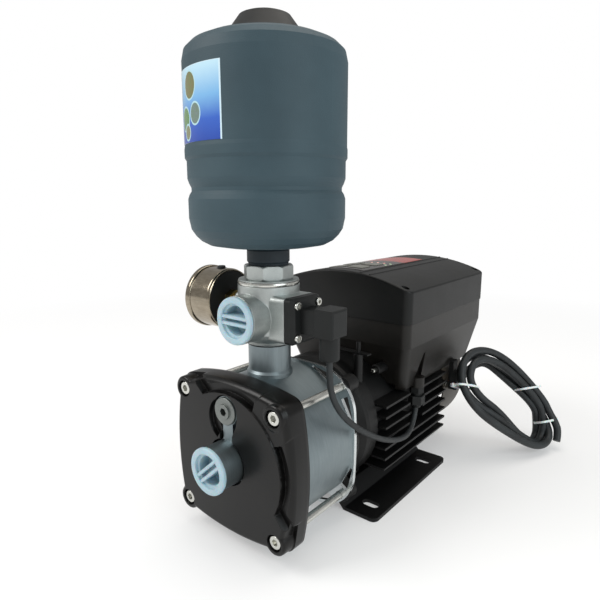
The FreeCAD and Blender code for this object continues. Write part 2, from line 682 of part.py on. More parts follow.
def rear_shield():
    """Rear bearing shield with the lugs that carry the fan cover."""
    y0 = MOTOR_BACK_Y
    shield = turn_y([
        (BEARING_OD_R + 8, y0), (BEARING_OD_R + 8, BEARING_REAR_Y), (BEARING_OD_R + 0.02, BEARING_REAR_Y),
        (BEARING_OD_R + 0.02, BEARING_REAR_Y + BEARING_W), (FAN_SHAFT_R + 1, BEARING_REAR_Y + BEARING_W),
        (FAN_SHAFT_R + 1, y0 + 8), (TUBE_R - 8, y0 + REAR_SHIELD_T), (TUBE_R + 3, y0 + REAR_SHIELD_T),
        (TUBE_R + 3, y0)])
    for a in COVER_LUG_ANGLES:
        lug = ring_sector(TUBE_R, COVER_IN_R - 0.02, a - 5, a + 5, y0, y0 + REAR_SHIELD_T)
        shield = shield.fuse(lug)
    return shield.removeSplitter()


def fan():
    """Plastic fan: a hub and back disc with straight radial blades."""
    y0 = MOTOR_BACK_Y + 20
    wheel = collar_y(FAN_SHAFT_R + 0.02, 16, y0, y0 + FAN_W)
    wheel = wheel.fuse(collar_y(15, FAN_R, y0 + FAN_W - 3, y0 + FAN_W - 0.5))
    for k in range(FAN_BLADES):
        blade = box(14, FAN_R, y0, y0 + FAN_W - 1, SHAFT_H - 1, SHAFT_H + 1)
        blade.rotate(vec(0, 0, SHAFT_H), vec(0, 1, 0), 360 / FAN_BLADES * k)
        wheel = wheel.fuse(blade)
    return wheel.removeSplitter()


def fan_cover():
    """Round cowl over the fan, with a grille of slotted rings in its rear face."""
    y0 = MOTOR_BACK_Y + 2
    outer = rod_y(COVER_R, y0, COVER_BACK_Y)
    outer = fillet_where(outer, COVER_EDGE_R, lambda e: e.BoundBox.YMin > COVER_BACK_Y - 0.01)
    inner = rod_y(COVER_IN_R, y0 - 1, COVER_BACK_Y - COVER_T)
    inner = fillet_where(inner, COVER_EDGE_R - COVER_T, lambda e: e.BoundBox.YMin > COVER_BACK_Y - COVER_T - 0.01)
    cover = outer.cut(inner)
    first = COVER_R - COVER_EDGE_R - GRILLE_PITCH * GRILLE_RINGS + 3
    for ring in range(GRILLE_RINGS):
        r0 = first + GRILLE_PITCH * ring
        for k in range(6):
            a = 60 * k + GRILLE_RIB_ANGLE / 2
            slot = ring_sector(r0, r0 + GRILLE_SLOT_W, a, a + 60 - GRILLE_RIB_ANGLE,
                               COVER_BACK_Y - 2 * COVER_T, COVER_BACK_Y + 1)
            cover = cover.cut(slot)
    return cover


def cover_screws():
    """Small screws that hold the cowl on the lugs of the rear shield."""
    screws = []
    y = MOTOR_BACK_Y + 7
    for angle in COVER_LUG_ANGLES:
        a = math.radians(angle)
        out = vec(math.cos(a), 0, math.sin(a))
        foot = vec(0, y, SHAFT_H) + out * COVER_R
        head = Part.makeCylinder(4.0, 2.2, foot, out)
        screws.append(head)
    return screws


def foot_plate():
    """Folded steel foot: a raised web under the motor between two slotted floor flanges."""
    half = FOOT_W / 2
    t = FOOT_T
    slope = FOOT_BEND_X - WEB_HALF_W
    lean = t * math.tan(math.atan2(WEB_RISE, slope) / 2)
    right = [(half, 0), (half, t), (FOOT_BEND_X + lean, t), (WEB_HALF_W + lean, WEB_RISE + t)]
    under = [(WEB_HALF_W, WEB_RISE), (FOOT_BEND_X, 0)]
    top = right + [(-x, z) for x, z in reversed(right)]
    low = [(-x, z) for x, z in reversed(under)] + under
    points = [vec(x, -FOOT_LEN / 2, z) for x, z in top + low]
    plate = Part.Face(Part.makePolygon(points + points[:1])).extrude(vec(0, FOOT_LEN, 0))
    plate = fillet_where(plate, FOOT_CORNER_R, lambda e: (
        abs(abs(e.BoundBox.XMin) - half) < 0.01 and e.BoundBox.ZLength > t - 0.1 and e.BoundBox.YLength < 0.1))
    for sx in (-1, 1):
        for sy in (-1, 1):
            plate = plate.cut(foot_slot(sx * SLOT_PITCH_X / 2, sy * SLOT_PITCH_Y / 2))
    for y in PAD_Y:
        for side in (-1, 1):
            plate = plate.cut(rod_z(FOOT_SCREW_R + 0.4, 0, FOOT_TOP_Z + 1, side * PAD_X, y))
    return plate


def foot_slot(x, y):
    r = SLOT_W / 2
    reach = SLOT_LEN / 2 - r
    slot = box(x - reach, x + reach, y - r, y + r, -1, FOOT_T + 1)
    slot = slot.fuse(rod_z(r, -1, FOOT_T + 1, x - reach, y))
    return slot.fuse(rod_z(r, -1, FOOT_T + 1, x + reach, y)).removeSplitter()


def foot_screws():
    """Hexagon screws from below that hold the motor pads on the foot's web."""
    screws = []
    for y in PAD_Y:
        for side in (-1, 1):
            head = hex_prism(13.0, vec(side * PAD_X, y, WEB_RISE - 5.3), vec(0, 0, 1), 5.3)
            shank = rod_z(FOOT_SCREW_R, WEB_RISE - 1, FOOT_TOP_Z + 10, side * PAD_X, y)
            screws.append(head.fuse(shank))
    return screws


# Drive housing

def lid_arc(half_w, edge_z, crest_z, y0, y1, bottom_z):
    """Block with a crowned top: flat sides and bottom, one shallow arc across the width."""
    left = vec(-half_w, y0, edge_z)
    crest = vec(0, y0, crest_z)
    right = vec(half_w, y0, edge_z)
    edges = [
        Part.Arc(left, crest, right).toShape(),
        Part.LineSegment(right, vec(half_w, y0, bottom_z)).toShape(),
        Part.LineSegment(vec(half_w, y0, bottom_z), vec(-half_w, y0, bottom_z)).toShape(),
        Part.LineSegment(vec(-half_w, y0, bottom_z), left).toShape(),
    ]
    return Part.Face(Part.Wire(edges)).extrude(vec(0, y1 - y0, 0))


def crown_z(x, half_w=DRIVE_HALF_W, edge_z=LID_EDGE_Z, crest_z=LID_CREST_Z):
    """Height of the lid's crown at x."""
    sag = crest_z - edge_z
    r = (half_w ** 2 + sag ** 2) / (2 * sag)
    return crest_z - r + math.sqrt(r * r - x * x)


def upright(e, corner_x):
    b = e.BoundBox
    return b.XLength < 0.1 and b.YLength < 0.1 and b.ZLength > 10 and abs(abs(b.XMin) - corner_x) < 0.1


def drive_skirt():
    """Outer shape of the lower housing: narrow at the bottom, square from the shoulder up."""
    x1 = DRIVE_HALF_W - LEDGE
    y0 = DRIVE_FRONT_Y + LEDGE
    y1 = DRIVE_BACK_Y - LEDGE
    low = rounded_rect(-x1 + TAPER_X, x1 - TAPER_X, y0 + TAPER_FRONT, y1 - TAPER_REAR,
                       DRIVE_CORNER_R + 4, DRIVE_BOTTOM_Z)
    shoulder = rounded_rect(-x1, x1, y0, y1, DRIVE_CORNER_R, DRIVE_SHOULDER_Z)
    skirt = Part.makeLoft([low, shoulder], True, True)
    upper = Part.Face(shoulder).extrude(vec(0, 0, SEAM_Z - DRIVE_SHOULDER_Z))
    return skirt.fuse(upper).removeSplitter()


def lid_screw_places():
    """Four corners and two near the crown, one at each end."""
    y0 = DRIVE_FRONT_Y + LID_SCREW_INSET
    y1 = DRIVE_BACK_Y - LID_SCREW_INSET
    corner_x = DRIVE_HALF_W - 10
    return [(x, y) for y in (y0, y1) for x in (-corner_x, LID_SCREW_X, corner_x)]


def drive_base():
    """Lower drive housing: tapered skirts that straddle the motor, open at the top."""
    body = drive_skirt()
    w = DRIVE_WALL
    x1 = DRIVE_HALF_W - LEDGE - w
    cavity = rounded_rect(-x1, x1, DRIVE_FRONT_Y + LEDGE + w, DRIVE_BACK_Y - LEDGE - w, DRIVE_CORNER_R - w,
                          DRIVE_SHOULDER_Z + w)
    body = body.cut(Part.Face(cavity).extrude(vec(0, 0, SLAB)))
    for x, y in lid_screw_places():
        body = body.fuse(rod_z(6.0, DRIVE_SHOULDER_Z, SEAM_Z, x, y).common(drive_skirt()))
        body = body.cut(rod_z(2.35, SEAM_Z - 14, SEAM_Z + 1, x, y))
    saddle = rod_y(TUBE_R + 0.3, DRIVE_FRONT_Y - 60, DRIVE_BACK_Y + 10)
    trough = box(-TUBE_R - 0.3, TUBE_R + 0.3, DRIVE_FRONT_Y - 60, DRIVE_BACK_Y + 10, SHAFT_H - 40, SHAFT_H + 34)
    body = body.cut(saddle)
    body = body.cut(trough)
    body = body.cut(rod_y(COVER_R + 1.0, MOTOR_BACK_Y - 0.5, DRIVE_BACK_Y + 10))
    gx, gy, gz = SENSOR_GLAND
    notch = [(gy - 9, gz + 10), (gy + 9, gz + 10), (gy + 3, gz + 42), (gy - 1, gz + 42)]
    world = [vec(gx - 3, y, z) for y, z in notch]
    body = body.cut(Part.Face(Part.makePolygon(world + world[:1])).extrude(vec(40, 0, 0)))
    body = body.fuse(rod_z(8.5, gz, gz + 12, gx, gy).cut(saddle))
    return body.cut(rod_z(6.1, gz - 1, gz + 9, gx, gy)).removeSplitter()


def drive_lid():
    """Crowned lid with two ridges along it, screw pockets and the panel's recess."""
    z0 = SEAM_Z
    x1 = DRIVE_HALF_W
    y0 = DRIVE_FRONT_Y
    y1 = DRIVE_BACK_Y
    outer = lid_arc(x1, LID_EDGE_Z, LID_CREST_Z, y0, y1, z0)
    outer = fillet_where(outer, DRIVE_CORNER_R, lambda e: upright(e, x1))
    outer = fillet_where(outer, 2.4, lambda e: e.BoundBox.ZMin > LID_EDGE_Z - 1)
    w = DRIVE_WALL
    inner = lid_arc(x1 - w, LID_EDGE_Z - w, LID_CREST_Z - w - 4, y0 + w, y1 - w, z0 - 1)
    lid = outer.cut(inner)
    for x in RIDGE_X:
        lid = lid.fuse(rod_y(RIDGE_W / 2, y0 + 3, y1 - 3, x, crown_z(x) - 0.7))
    for x, y in lid_screw_places():
        lid = lid.fuse(rod_z(6.0, z0, crown_z(x) - 3, x, y).common(outer))
        lid = lid.cut(rod_z(4.4, crown_z(x) - 7, SLAB, x, y))
        lid = lid.cut(rod_z(2.6, z0 - 1, crown_z(x) - 6, x, y))
    lid = lid.cut(panel_block(0.15, 0.0))
    return lid.cut(panel_window())


def panel_block(grow, lift):
    """The display panel's own space: a crowned slab let into the lid."""
    x0 = PANEL_X0 - grow
    x1 = PANEL_X1 + grow
    y0 = PANEL_Y0 - grow
    y1 = PANEL_Y0 + PANEL_LEN + grow
    lift_z = LID_CREST_Z + lift
    slab = lid_arc(DRIVE_HALF_W, LID_EDGE_Z + lift, lift_z, y0, y1, LID_EDGE_Z - 10)
    under = lid_arc(DRIVE_HALF_W, LID_EDGE_Z - PANEL_T, LID_CREST_Z - PANEL_T, y0 - 1, y1 + 1, LID_EDGE_Z - 12)
    slab = slab.cut(under)
    return slab.common(box(x0, x1, y0, y1, LID_EDGE_Z - 12, SLAB))


def panel_window():
    """Opening under the panel for the keys' switches and the display."""
    return box(PANEL_X0 + 8, PANEL_X1 - 5, PANEL_Y0 + 8, PANEL_Y0 + PANEL_LEN - 14, LID_EDGE_Z - 12, SLAB)


def key_places():
    x0 = PANEL_X1 - 9.5 - KEY_SIZE / 2
    y0 = PANEL_Y0 + 10 + KEY_SIZE / 2
    return [(x0 - KEY_PITCH_X * i, y0 + KEY_PITCH_Y * j) for j in range(2) for i in range(2)]


def key_outline(x, y, size, z0, z1):
    h = size / 2
    wire = rounded_rect(x - h, x + h, y - h, y + h, 3.0, z0)
    return Part.Face(wire).extrude(vec(0, 0, z1 - z0))


def display_panel():
    """Glossy front sheet with an opening for each key and a display window."""
    panel = panel_block(0.0, 0.35)
    for x, y in key_places():
        panel = panel.cut(key_outline(x, y, KEY_SIZE, LID_EDGE_Z - 12, SLAB))
    return panel


def key_cap(x, y):
    """One sprung key: a crowned pad with a collar under the panel."""
    size = KEY_SIZE - 2 * KEY_GAP
    cap = key_outline(x, y, size, LID_EDGE_Z, SLAB)
    top = lid_arc(DRIVE_HALF_W, LID_EDGE_Z + 1.0, LID_CREST_Z + 1.0, y - size, y + size, LID_EDGE_Z - 10)
    under = lid_arc(DRIVE_HALF_W, LID_EDGE_Z - 2.4, LID_CREST_Z - 2.4, y - 2 * size, y + 2 * size, LID_EDGE_Z - 12)
    cap = cap.common(top.cut(under))
    stem = rod_z(2.5, crown_z(x) - 6.0, crown_z(x) - 1.6, x, y)
    return cap.fuse(stem)


def key_board_z():
    """Top of the keypad board, under the lowest stem by the key's travel and a gap."""
    lowest = min(crown_z(x) for x, y in key_places())
    return lowest - 6.0 - KEY_TRAVEL - 0.3


def keypad_board():
    """Circuit board below the keys, hung from the panel by four posts."""
    z1 = key_board_z()
    x0 = PANEL_X0 + 9
    x1 = PANEL_X1 - 6
    y0 = PANEL_Y0 + 9
    y1 = PANEL_Y0 + PANEL_LEN - 15
    board = box(x0, x1, y0, y1, z1 - 1.6, z1)
    under = lid_arc(DRIVE_HALF_W, LID_EDGE_Z - PANEL_T, LID_CREST_Z - PANEL_T, y0 - 1, y1 + 1, z1 - 1)
    for x in (x0 + 3, x1 - 2):
        for y in (y0 + 3, y1 - 3):
            board = board.fuse(rod_z(1.8, z1 - 1, SLAB, x, y).common(under))
    return board


def lid_screws():
    screws = []
    for x, y in lid_screw_places():
        z = crown_z(x) - 7
        head = rod_z(4.2, z, z + 3.0, x, y)
        head = head.cut(hex_prism(3.0, vec(x, y, z + 1), vec(0, 0, 1), 3.0))
        screws.append(head.fuse(rod_z(2.3, SEAM_Z - 12, z + 1, x, y)))
    return screws


def drive_stay():
    """Steel stay in front of the drive: a stud on the motor shield and a flat strip on it."""
    x = 48.0
    y = MOTOR_FRONT_Y - 9.0
    foot = rod_z(5.0, SHAFT_H, SHAFT_H + 80, x, y).cut(rod_y(SHIELD_R, y - 20, y + 20))
    stud = rod_z(2.5, SHAFT_H + 79, SHAFT_H + 93, x, y)
    strip = box(x - 30, x + 13, y - 3, y + 5, SHAFT_H + 80, SHAFT_H + 81.5)
    return foot.fuse(stud).fuse(strip)


# Discharge stack

def valve_body():
    """Cast cross: a round body with a front port, a sensor pad and a gauge boss."""
    z0 = CROSS_Z0
    z1 = CROSS_Z1
    body = turn_z([(0, z0), (PIPE_R + 1.2, z0), (PIPE_R + 2.2, z0 + 3), (CROSS_R - 2, z0 + 8), (CROSS_R, z0 + 12),
                   (CROSS_R, z1 - 5), (CROSS_R - 2.2, z1 - 4.6), (CROSS_R - 2.2, z1 - 1.4), (CROSS_R - 1, z1 - 1.2),
                   (CROSS_R - 1, z1), (0, z1)])
    body = body.fuse(rod_y(PORT_R, PORT_Y, OUTLET_Y, 0, PORT_Z))
    half = SENSOR_PAD / 2
    pad = box(0, SENSOR_PAD_X, OUTLET_Y - half, OUTLET_Y + half, PORT_Z - half, PORT_Z + half)
    pad = fillet_where(pad, 5.0, lambda e: (
        e.BoundBox.XLength > 20))
    body = body.fuse(pad)
    body = body.fuse(rod_x(11.0, -GAUGE_BOSS_X, 0, OUTLET_Y, PORT_Z + 8))
    body = body.removeSplitter()
    body = body.cut(rod_z(PIPE_R - PIPE_T, z0 - 1, z1 - 14))
    body = body.cut(rod_z(BORE_R, z1 - 15, z1 + 1))
    body = body.cut(rod_y(BORE_R, PORT_Y - 1, PORT_Y + BORE_DEPTH, 0, PORT_Z))
    body = body.cut(rod_y(BORE_R - 1.2, PORT_Y, OUTLET_Y, 0, PORT_Z))
    body = body.cut(rod_x(6.2, 0, SENSOR_PAD_X + 1, OUTLET_Y, PORT_Z))
    return body.cut(rod_x(5.2, -GAUGE_BOSS_X - 1, 0, OUTLET_Y, PORT_Z + 8))


def snap_ring():
    """Polished split ring in the groove under the cross's top rim."""
    z1 = CROSS_Z1
    ring = turn_z([(CROSS_R - 2.1, z1 - 4.5), (CROSS_R - 0.4, z1 - 4.5), (CROSS_R - 0.1, z1 - 3.0),
                   (CROSS_R - 0.4, z1 - 1.5), (CROSS_R - 2.1, z1 - 1.5)])
    return ring.cut(box(-1.5, 1.5, OUTLET_Y + 20, OUTLET_Y + 40, z1 - 6, z1))


def valve_cage():
    """Brass check valve cage: seat ring, three struts and the guide for the stem."""
    z0 = CROSS_Z0 - 8
    z1 = CROSS_Z0 + 21.5
    r = PIPE_R - PIPE_T - 0.02
    cage = turn_z([(12.5, z0), (r, z0), (r, z0 + 6), (12.5, z0 + 6)])
    cage = cage.fuse(turn_z([(3.3, z1), (6.5, z1), (6.5, z1 + 6), (3.3, z1 + 6)]))
    for k in range(3):
        side = box(15.8, r - 0.3, OUTLET_Y - 2.0, OUTLET_Y + 2.0, z0 + 5, z1 + 6)
        arm = box(5.5, r - 0.3, OUTLET_Y - 1.5, OUTLET_Y + 1.5, z1 + 2, z1 + 6)
        strut = side.fuse(arm)
        strut.rotate(vec(0, OUTLET_Y, 0), vec(0, 0, 1), 120 * k + 90)
        cage = cage.fuse(strut)
    return cage


def valve_cone():
    """Non-return disc with its guide stem, resting on the seat."""
    z0 = CROSS_Z0 - 2
    disc = turn_z([(0, z0), (14.8, z0), (14.8, z0 + 2.5), (6, z0 + 6), (3, z0 + 7), (3, z0 + 26), (0, z0 + 26)])
    fins = disc
    for k in range(3):
        fin = box(-1, 11.5, OUTLET_Y - 0.8, OUTLET_Y + 0.8, z0 - 10, z0 + 1)
        fin.rotate(vec(0, OUTLET_Y, 0), vec(0, 0, 1), 120 * k)
        fins = fins.fuse(fin)
    return fins


def valve_spring():
    """Closing spring around the stem, as a plain tube of its outer size."""
    z0 = CROSS_Z0 + 5.2
    return turn_z([(4.2, z0), (6.0, z0), (6.0, CROSS_Z0 + 21.4), (4.2, CROSS_Z0 + 21.4)])


def tank_nipple():
    """Eight-sided reducing nipple that joins the tank to the cross."""
    nut = hex_prism(NUT_AF, vec(0, OUTLET_Y, CROSS_Z1), vec(0, 0, 1), NUT_H, 30.5, 8)
    flat = NUT_AF / 2
    bevel = turn_z([(0, CROSS_Z1 - 0.1), (flat + 0.2, CROSS_Z1 - 0.1), (flat + 1.9, CROSS_Z1 + 1.6),
                    (flat + 1.9, NUT_Z1 - 1.6), (flat + 0.2, NUT_Z1 + 0.1), (0, NUT_Z1 + 0.1)])
    nut = nut.common(bevel)
    nut = nut.fuse(rod_z(BORE_R - 0.05, CROSS_Z1 - 13, CROSS_Z1 + 1))
    return nut.cut(rod_z(10.0, CROSS_Z1 - 14, NUT_Z1 + 1))


def tank_neck():
    """Black plastic neck between the nipple and the tank."""
    neck = turn_z([(9.5, NUT_Z1), (NECK_R - 1.2, NUT_Z1), (NECK_R - 1.2, NUT_Z1 + 2), (NECK_R, NUT_Z1 + 3.5),
                   (NECK_R, TANK_Z0 - 1.5), (NECK_R - 1.5, TANK_Z0 + 0.5), (9.5, TANK_Z0 + 0.5)])
    return neck


def tank_profile(inset):
    """Outline of the tank from its neck to its crown, as (radius, height) points."""
    r = TANK_R - inset
    z0 = TANK_Z0
    z1 = TANK_Z1 - inset
    low = [(0.30, 0.4), (0.55, 1.8), (0.74, 4.1), (0.84, 8.0), (0.905, 12.7), (0.959, 18.7), (0.986, 28.5)]
    waist = [(0.986, 46.0), (0.968, 50.0), (0.942, 53.0), (0.942, 56.0), (0.968, 60.0), (0.986, 64.0)]
    bead = [(0.986, 79.5), (1.007, 82.2), (1.007, 89.5), (1.0, 92.5), (1.0, 163.5)]
    points = [(0, z0 + inset)]
    for share, rise in low + waist + bead:
        points.append((r * share, z0 + rise + (inset if rise < 30 else 0)))
    spring_z = z0 + 163.5
    for k in range(1, 7):
        a = math.radians(90 / 6 * k)
        across = math.cos(a) ** (2 / 2.7)
        up = math.sin(a) ** (2 / 2.7)
        points.append((r * across, spring_z + (z1 - spring_z) * up))
    points[-1] = (0, z1)
    return points


def tank_shell():
    """Moulded pressure tank with a raised bead and a waist groove."""
    shell = turn_z(tank_profile(0)).cut(turn_z(tank_profile(TANK_WALL)))
    shell = shell.cut(rod_z(NECK_R - 1.5, TANK_Z0 - 1, TANK_Z0 + 0.5))
    return shell.cut(rod_z(9.5, TANK_Z0 - 1, TANK_Z0 + 12))


def air_valve():
    """Charging valve in the tank's crown, under the cap."""
    z = TANK_Z1
    stem = turn_z([(0, z - 3), (7, z - 3), (7, z + 3), (4, z + 4), (4, z + 13), (0, z + 13)])
    return stem.cut(turn_z(tank_profile(0)))


def tank_cap():
    """Black screw cap over the air valve: a low cone with a domed top, hollow below."""
    z = TANK_Z1 - 1.2
    t = CAP_H
    outer = turn_z([(0, z), (CAP_R, z), (CAP_R, z + 2.5), (CAP_R - 2.0, z + 5), (25.5, z + t - 4), (23.5, z + t - 1.2),
                    (20.5, z + t), (0, z + t)])
    crown = turn_z(tank_profile(-0.25))
    hollow = turn_z([(0, z - 1), (CAP_R - 4, z - 1), (22, z + t - 6), (20, z + t - 3), (0, z + t - 3)])
    return outer.cut(crown).cut(hollow)


def transport_plug(x, y, z, bar_angle):
    """Light blue plug that closes a port for transport, with a double finger bar."""
    body_r = BORE_R - PLUG_FIT
    y0 = y - PLUG_FLANGE_T
    plug = rod_y(PLUG_FLANGE_R, y0, y - 0.1, x, z)
    plug = fillet_where(plug, 1.2, lambda e: e.BoundBox.YMax < y0 + 0.01)
    plug = plug.fuse(rod_y(body_r, y - 1, y + PLUG_BODY_LEN, x, z))
    cup = rod_y(body_r - PLUG_WALL, y0 - 1, y + PLUG_BODY_LEN - PLUG_WALL, x, z)
    bar = box(-SLAB, SLAB, y0 + 0.5, y + PLUG_BODY_LEN, -4.6, 4.6)
    bar = bar.cut(box(-SLAB, SLAB, y0 - 1, y + 5, -1.5, 1.5))
    bar.rotate(vec(0, 0, 0), vec(0, 1, 0), -bar_angle)
    bar.translate(vec(x, 0, z))
    return plug.cut(cup.cut(bar))


# Gauge and sensor

def gauge_case():
    """Polished steel case, open to the left for the dial, with a round back edge."""
    x0 = -GAUGE_BACK_X - GAUGE_DEPTH
    z = PORT_Z + 8
    case = rod_x(GAUGE_R - 1.6, x0 + 6, -GAUGE_BACK_X, OUTLET_Y, z)
    case = fillet_where(case, 3.0, lambda e: e.BoundBox.XMin > -GAUGE_BACK_X - 0.01)
    hollow = rod_x(GAUGE_R - 2.8, x0 + 5, -GAUGE_BACK_X - 2, OUTLET_Y, z)
    case = case.cut(hollow)
    return case.cut(rod_x(5.2, -GAUGE_BACK_X - 3, -GAUGE_BACK_X + 1, OUTLET_Y, z))


def gauge_bezel():
    x0 = -GAUGE_BACK_X - GAUGE_DEPTH
    z = PORT_Z + 8
    ring = rod_x(GAUGE_R, x0, x0 + 7.5, OUTLET_Y, z)
    ring = fillet_where(ring, 2.4, lambda e: e.BoundBox.XLength < 0.1)
    ring = ring.cut(rod_x(GAUGE_R - 5, x0 - 1, x0 + 2.5, OUTLET_Y, z))
    ring = ring.cut(rod_x(GAUGE_R - 2.8, x0 + 2.2, x0 + 8, OUTLET_Y, z))
    return ring.cut(rod_x(GAUGE_R - 1.6, x0 + 6, x0 + 8, OUTLET_Y, z))


def gauge_lens():
    x0 = -GAUGE_BACK_X - GAUGE_DEPTH + 2.5
    return rod_x(GAUGE_R - 2.9, x0, x0 + 1.8, OUTLET_Y, PORT_Z + 8)


def gauge_dial():
    x0 = -GAUGE_BACK_X - GAUGE_DEPTH + 9.0
    return rod_x(GAUGE_R - 2.9, x0, x0 + 1.0, OUTLET_Y, PORT_Z + 8).cut(
        rod_x(2.0, x0 - 1, x0 + 2, OUTLET_Y, PORT_Z + 8))


def gauge_pointer():
    """Pointer on its spindle, at zero."""
    x0 = -GAUGE_BACK_X - GAUGE_DEPTH + 6.6
    z = PORT_Z + 8
    hub = rod_x(3.2, x0, x0 + 1.2, OUTLET_Y, z)
    spindle = rod_x(1.0, x0, x0 + 16, OUTLET_Y, z)
    points = [vec(x0, OUTLET_Y - 1.6, z), vec(x0, OUTLET_Y - 0.4, z + 23), vec(x0, OUTLET_Y + 0.4, z + 23),
              vec(x0, OUTLET_Y + 1.6, z), vec(x0, OUTLET_Y + 1.2, z - 7), vec(x0, OUTLET_Y - 1.2, z - 7)]
    hand = Part.Face(Part.makePolygon(points + points[:1])).extrude(vec(0.7, 0, 0))
    hand.rotate(vec(x0, OUTLET_Y, z), vec(1, 0, 0), -135)
    return hub.fuse(spindle).fuse(hand)


def gauge_socket():
    """Brass socket: hexagon, thread into the cross, and the block that carries the spindle."""
    z = PORT_Z + 8
    back = -GAUGE_BACK_X
    block = rod_x(14.0, back - 16.05, back - 2.05, OUTLET_Y, z)
    block = block.cut(rod_x(1.1, back - 17, back - 8, OUTLET_Y, z))
    stub = hex_prism(17.0, vec(back, OUTLET_Y, z), vec(1, 0, 0), 8.0)
    stub = stub.fuse(rod_x(6.2, back + 7, -GAUGE_BOSS_X, OUTLET_Y, z))
    thread = rod_x(5.1, back - 3, -GAUGE_BOSS_X + 10, OUTLET_Y, z)
    return block.fuse(thread).fuse(stub)


def sensor_flange():
    """Black moulded sensor base with bevelled edges, screwed on the pad."""
    half = SENSOR_PAD / 2
    x0 = SENSOR_PAD_X
    x1 = x0 + SENSOR_FLANGE_T
    wide = square_wire(x0, half - 0.4, 4.0)
    step = square_wire(x1 - 4.0, half - 0.4, 4.0)
    top = square_wire(x1, half - 3.4, 3.0)
    base = Part.Face(wide).extrude(vec(x1 - 4.0 - x0, 0, 0))
    base = base.fuse(Part.makeLoft([step, top], True, True)).removeSplitter()
    p = SENSOR_SCREW_PITCH / 2
    for sy in (-1, 1):
        for sz in (-1, 1):
            base = base.cut(rod_x(2.2, x0 - 1, x1 + 1, OUTLET_Y + sy * p, PORT_Z + sz * p))
            base = base.cut(rod_x(4.2, x1 - 1.5, x1 + 1, OUTLET_Y + sy * p, PORT_Z + sz * p))
    return base.fuse(rod_x(6.1, x0 - 12, x0 + 1, OUTLET_Y, PORT_Z))


def square_wire(x, half, r):
    """Rounded square across the sensor's axis."""
    wire = rounded_rect(-half, half, -half, half, r, 0)
    wire.Placement = FreeCAD.Placement(vec(x, OUTLET_Y, PORT_Z), FreeCAD.Rotation(vec(0, 1, 0), 90))
    return wire


def sensor_screws():
    screws = []
    x1 = SENSOR_PAD_X + SENSOR_FLANGE_T - 1.5
    p = SENSOR_SCREW_PITCH / 2
    for sy in (-1, 1):
        for sz in (-1, 1):
            y = OUTLET_Y + sy * p
            z = PORT_Z + sz * p
            head = rod_x(3.8, x1, x1 + 3.4, y, z)
            head = fillet_where(head, 1.0, lambda e: e.BoundBox.XMin > x1 + 3.39)
            head = head.cut(hex_prism(3.4, vec(x1 + 1.4, y, z), vec(1, 0, 0), 3.0))
            screws.append(head.fuse(rod_x(2.1, x1 - 9.4, x1 + 1, y, z)))
    return screws


def sensor_connector():
    """Right-angle connector block with its cable outlet pointing down."""
    x0 = SENSOR_PAD_X + SENSOR_FLANGE_T
    x1 = x0 + 36
    y0 = OUTLET_Y - 12
    y1 = OUTLET_Y + 12
    body = box(x0 + 16, x1, y0, y1, PORT_Z - 12, PORT_Z + 14)
    body = fillet_where(body, 2.5, lambda e: e.BoundBox.XMin > x0 + 16.01)
    step = box(x0, x0 + 17, y0 + 0.8, y1 - 0.8, PORT_Z - 11, PORT_Z + 11.5)
    spout_x = SENSOR_ROUTE[0][0]
    spout = rod_z(9.4, PORT_Z - 34, PORT_Z - 10, spout_x, OUTLET_Y)
    spout = fillet_where(spout, 2.0, lambda e: e.BoundBox.ZMax < PORT_Z - 33.9)
    body = body.fuse(step).fuse(spout)
    return body.cut(rod_z(SENSOR_CABLE_R, PORT_Z - 36, PORT_Z - 24, spout_x, OUTLET_Y))


SENSOR_GLAND = (76.0, 25.0, DRIVE_BOTTOM_Z - 2.0)
MAINS_GLAND = (83.0, 130.0, 100.0)


def sensor_gland():
    """Cable gland under the drive for the sensor lead: two hexagons and a domed nut."""
    x, y, z = SENSOR_GLAND
    body = rod_z(6.0, z - 12, z + 9, x, y)
    body = body.fuse(hex_prism(15.0, vec(x, y, z - 7), vec(0, 0, 1), 7.0, 10))
    nut = hex_prism(17.0, vec(x, y, z - 21), vec(0, 0, 1), 10.5, 30)
    tip = Part.makeCone(5.0, 7.6, 4.5, vec(x, y, z - 25.5), vec(0, 0, 1))
    body = body.fuse(nut).fuse(tip)
    return body.cut(rod_z(SENSOR_CABLE_R, z - 26, z - 16, x, y))


def mains_gland():
    """Mains inlet: a moulded block on the skirt, a hexagon nut and a tapered strain relief."""
    x, y, z = MAINS_GLAND
    inner_x = COVER_R + 0.6
    block = box(inner_x, x + 4, y - 13, y, z - 14, z + 10)
    block = fillet_where(block, 1.5, lambda e: e.BoundBox.XMin > x + 3.9)
    foot = box(inner_x, x - 1.5, y - 13, y, z, z + 24).cut(drive_skirt())
    nut = hex_prism(14.5, vec(x + 0.8, y, z), vec(0, 1, 0), 6.0)
    relief = Part.makeCone(6.8, 5.8, RELIEF_LEN, vec(x + 0.8, y + 5.5, z), vec(0, 1, 0))
    body = block.fuse(foot).fuse(nut).fuse(relief)
    return body.cut(cord_tube("mains bore", MAINS_ROUTE, MAINS_R))


def sensor_cable():
    cable = cord_tube("sensor cable", SENSOR_ROUTE, SENSOR_CABLE_R)
    trim = rod_z(9, SENSOR_ROUTE[0][2], SLAB, SENSOR_ROUTE[0][0], OUTLET_Y)
    return cable.cut(trim)


def coil_body():
    """Tied coil of mains cord as one closed body of its outer shape."""
    wires = []
    for outline in (COIL_OUTSIDE, COIL_INSIDE):
        points = [vec(x, y, -COIL_HALF_T) for x, y in outline]
        wires.append(smooth_route(points, True)[0])
    face = Part.Face(wires[0]).cut(Part.Face(wires[1])).Faces[0]
    ring = face.extrude(vec(0, 0, 2 * COIL_HALF_T))
    ring = fillet_where(ring, COIL_EDGE_R, lambda e: e.BoundBox.ZLength < 0.1)
    ring.Placement = coil_placement()
    return ring


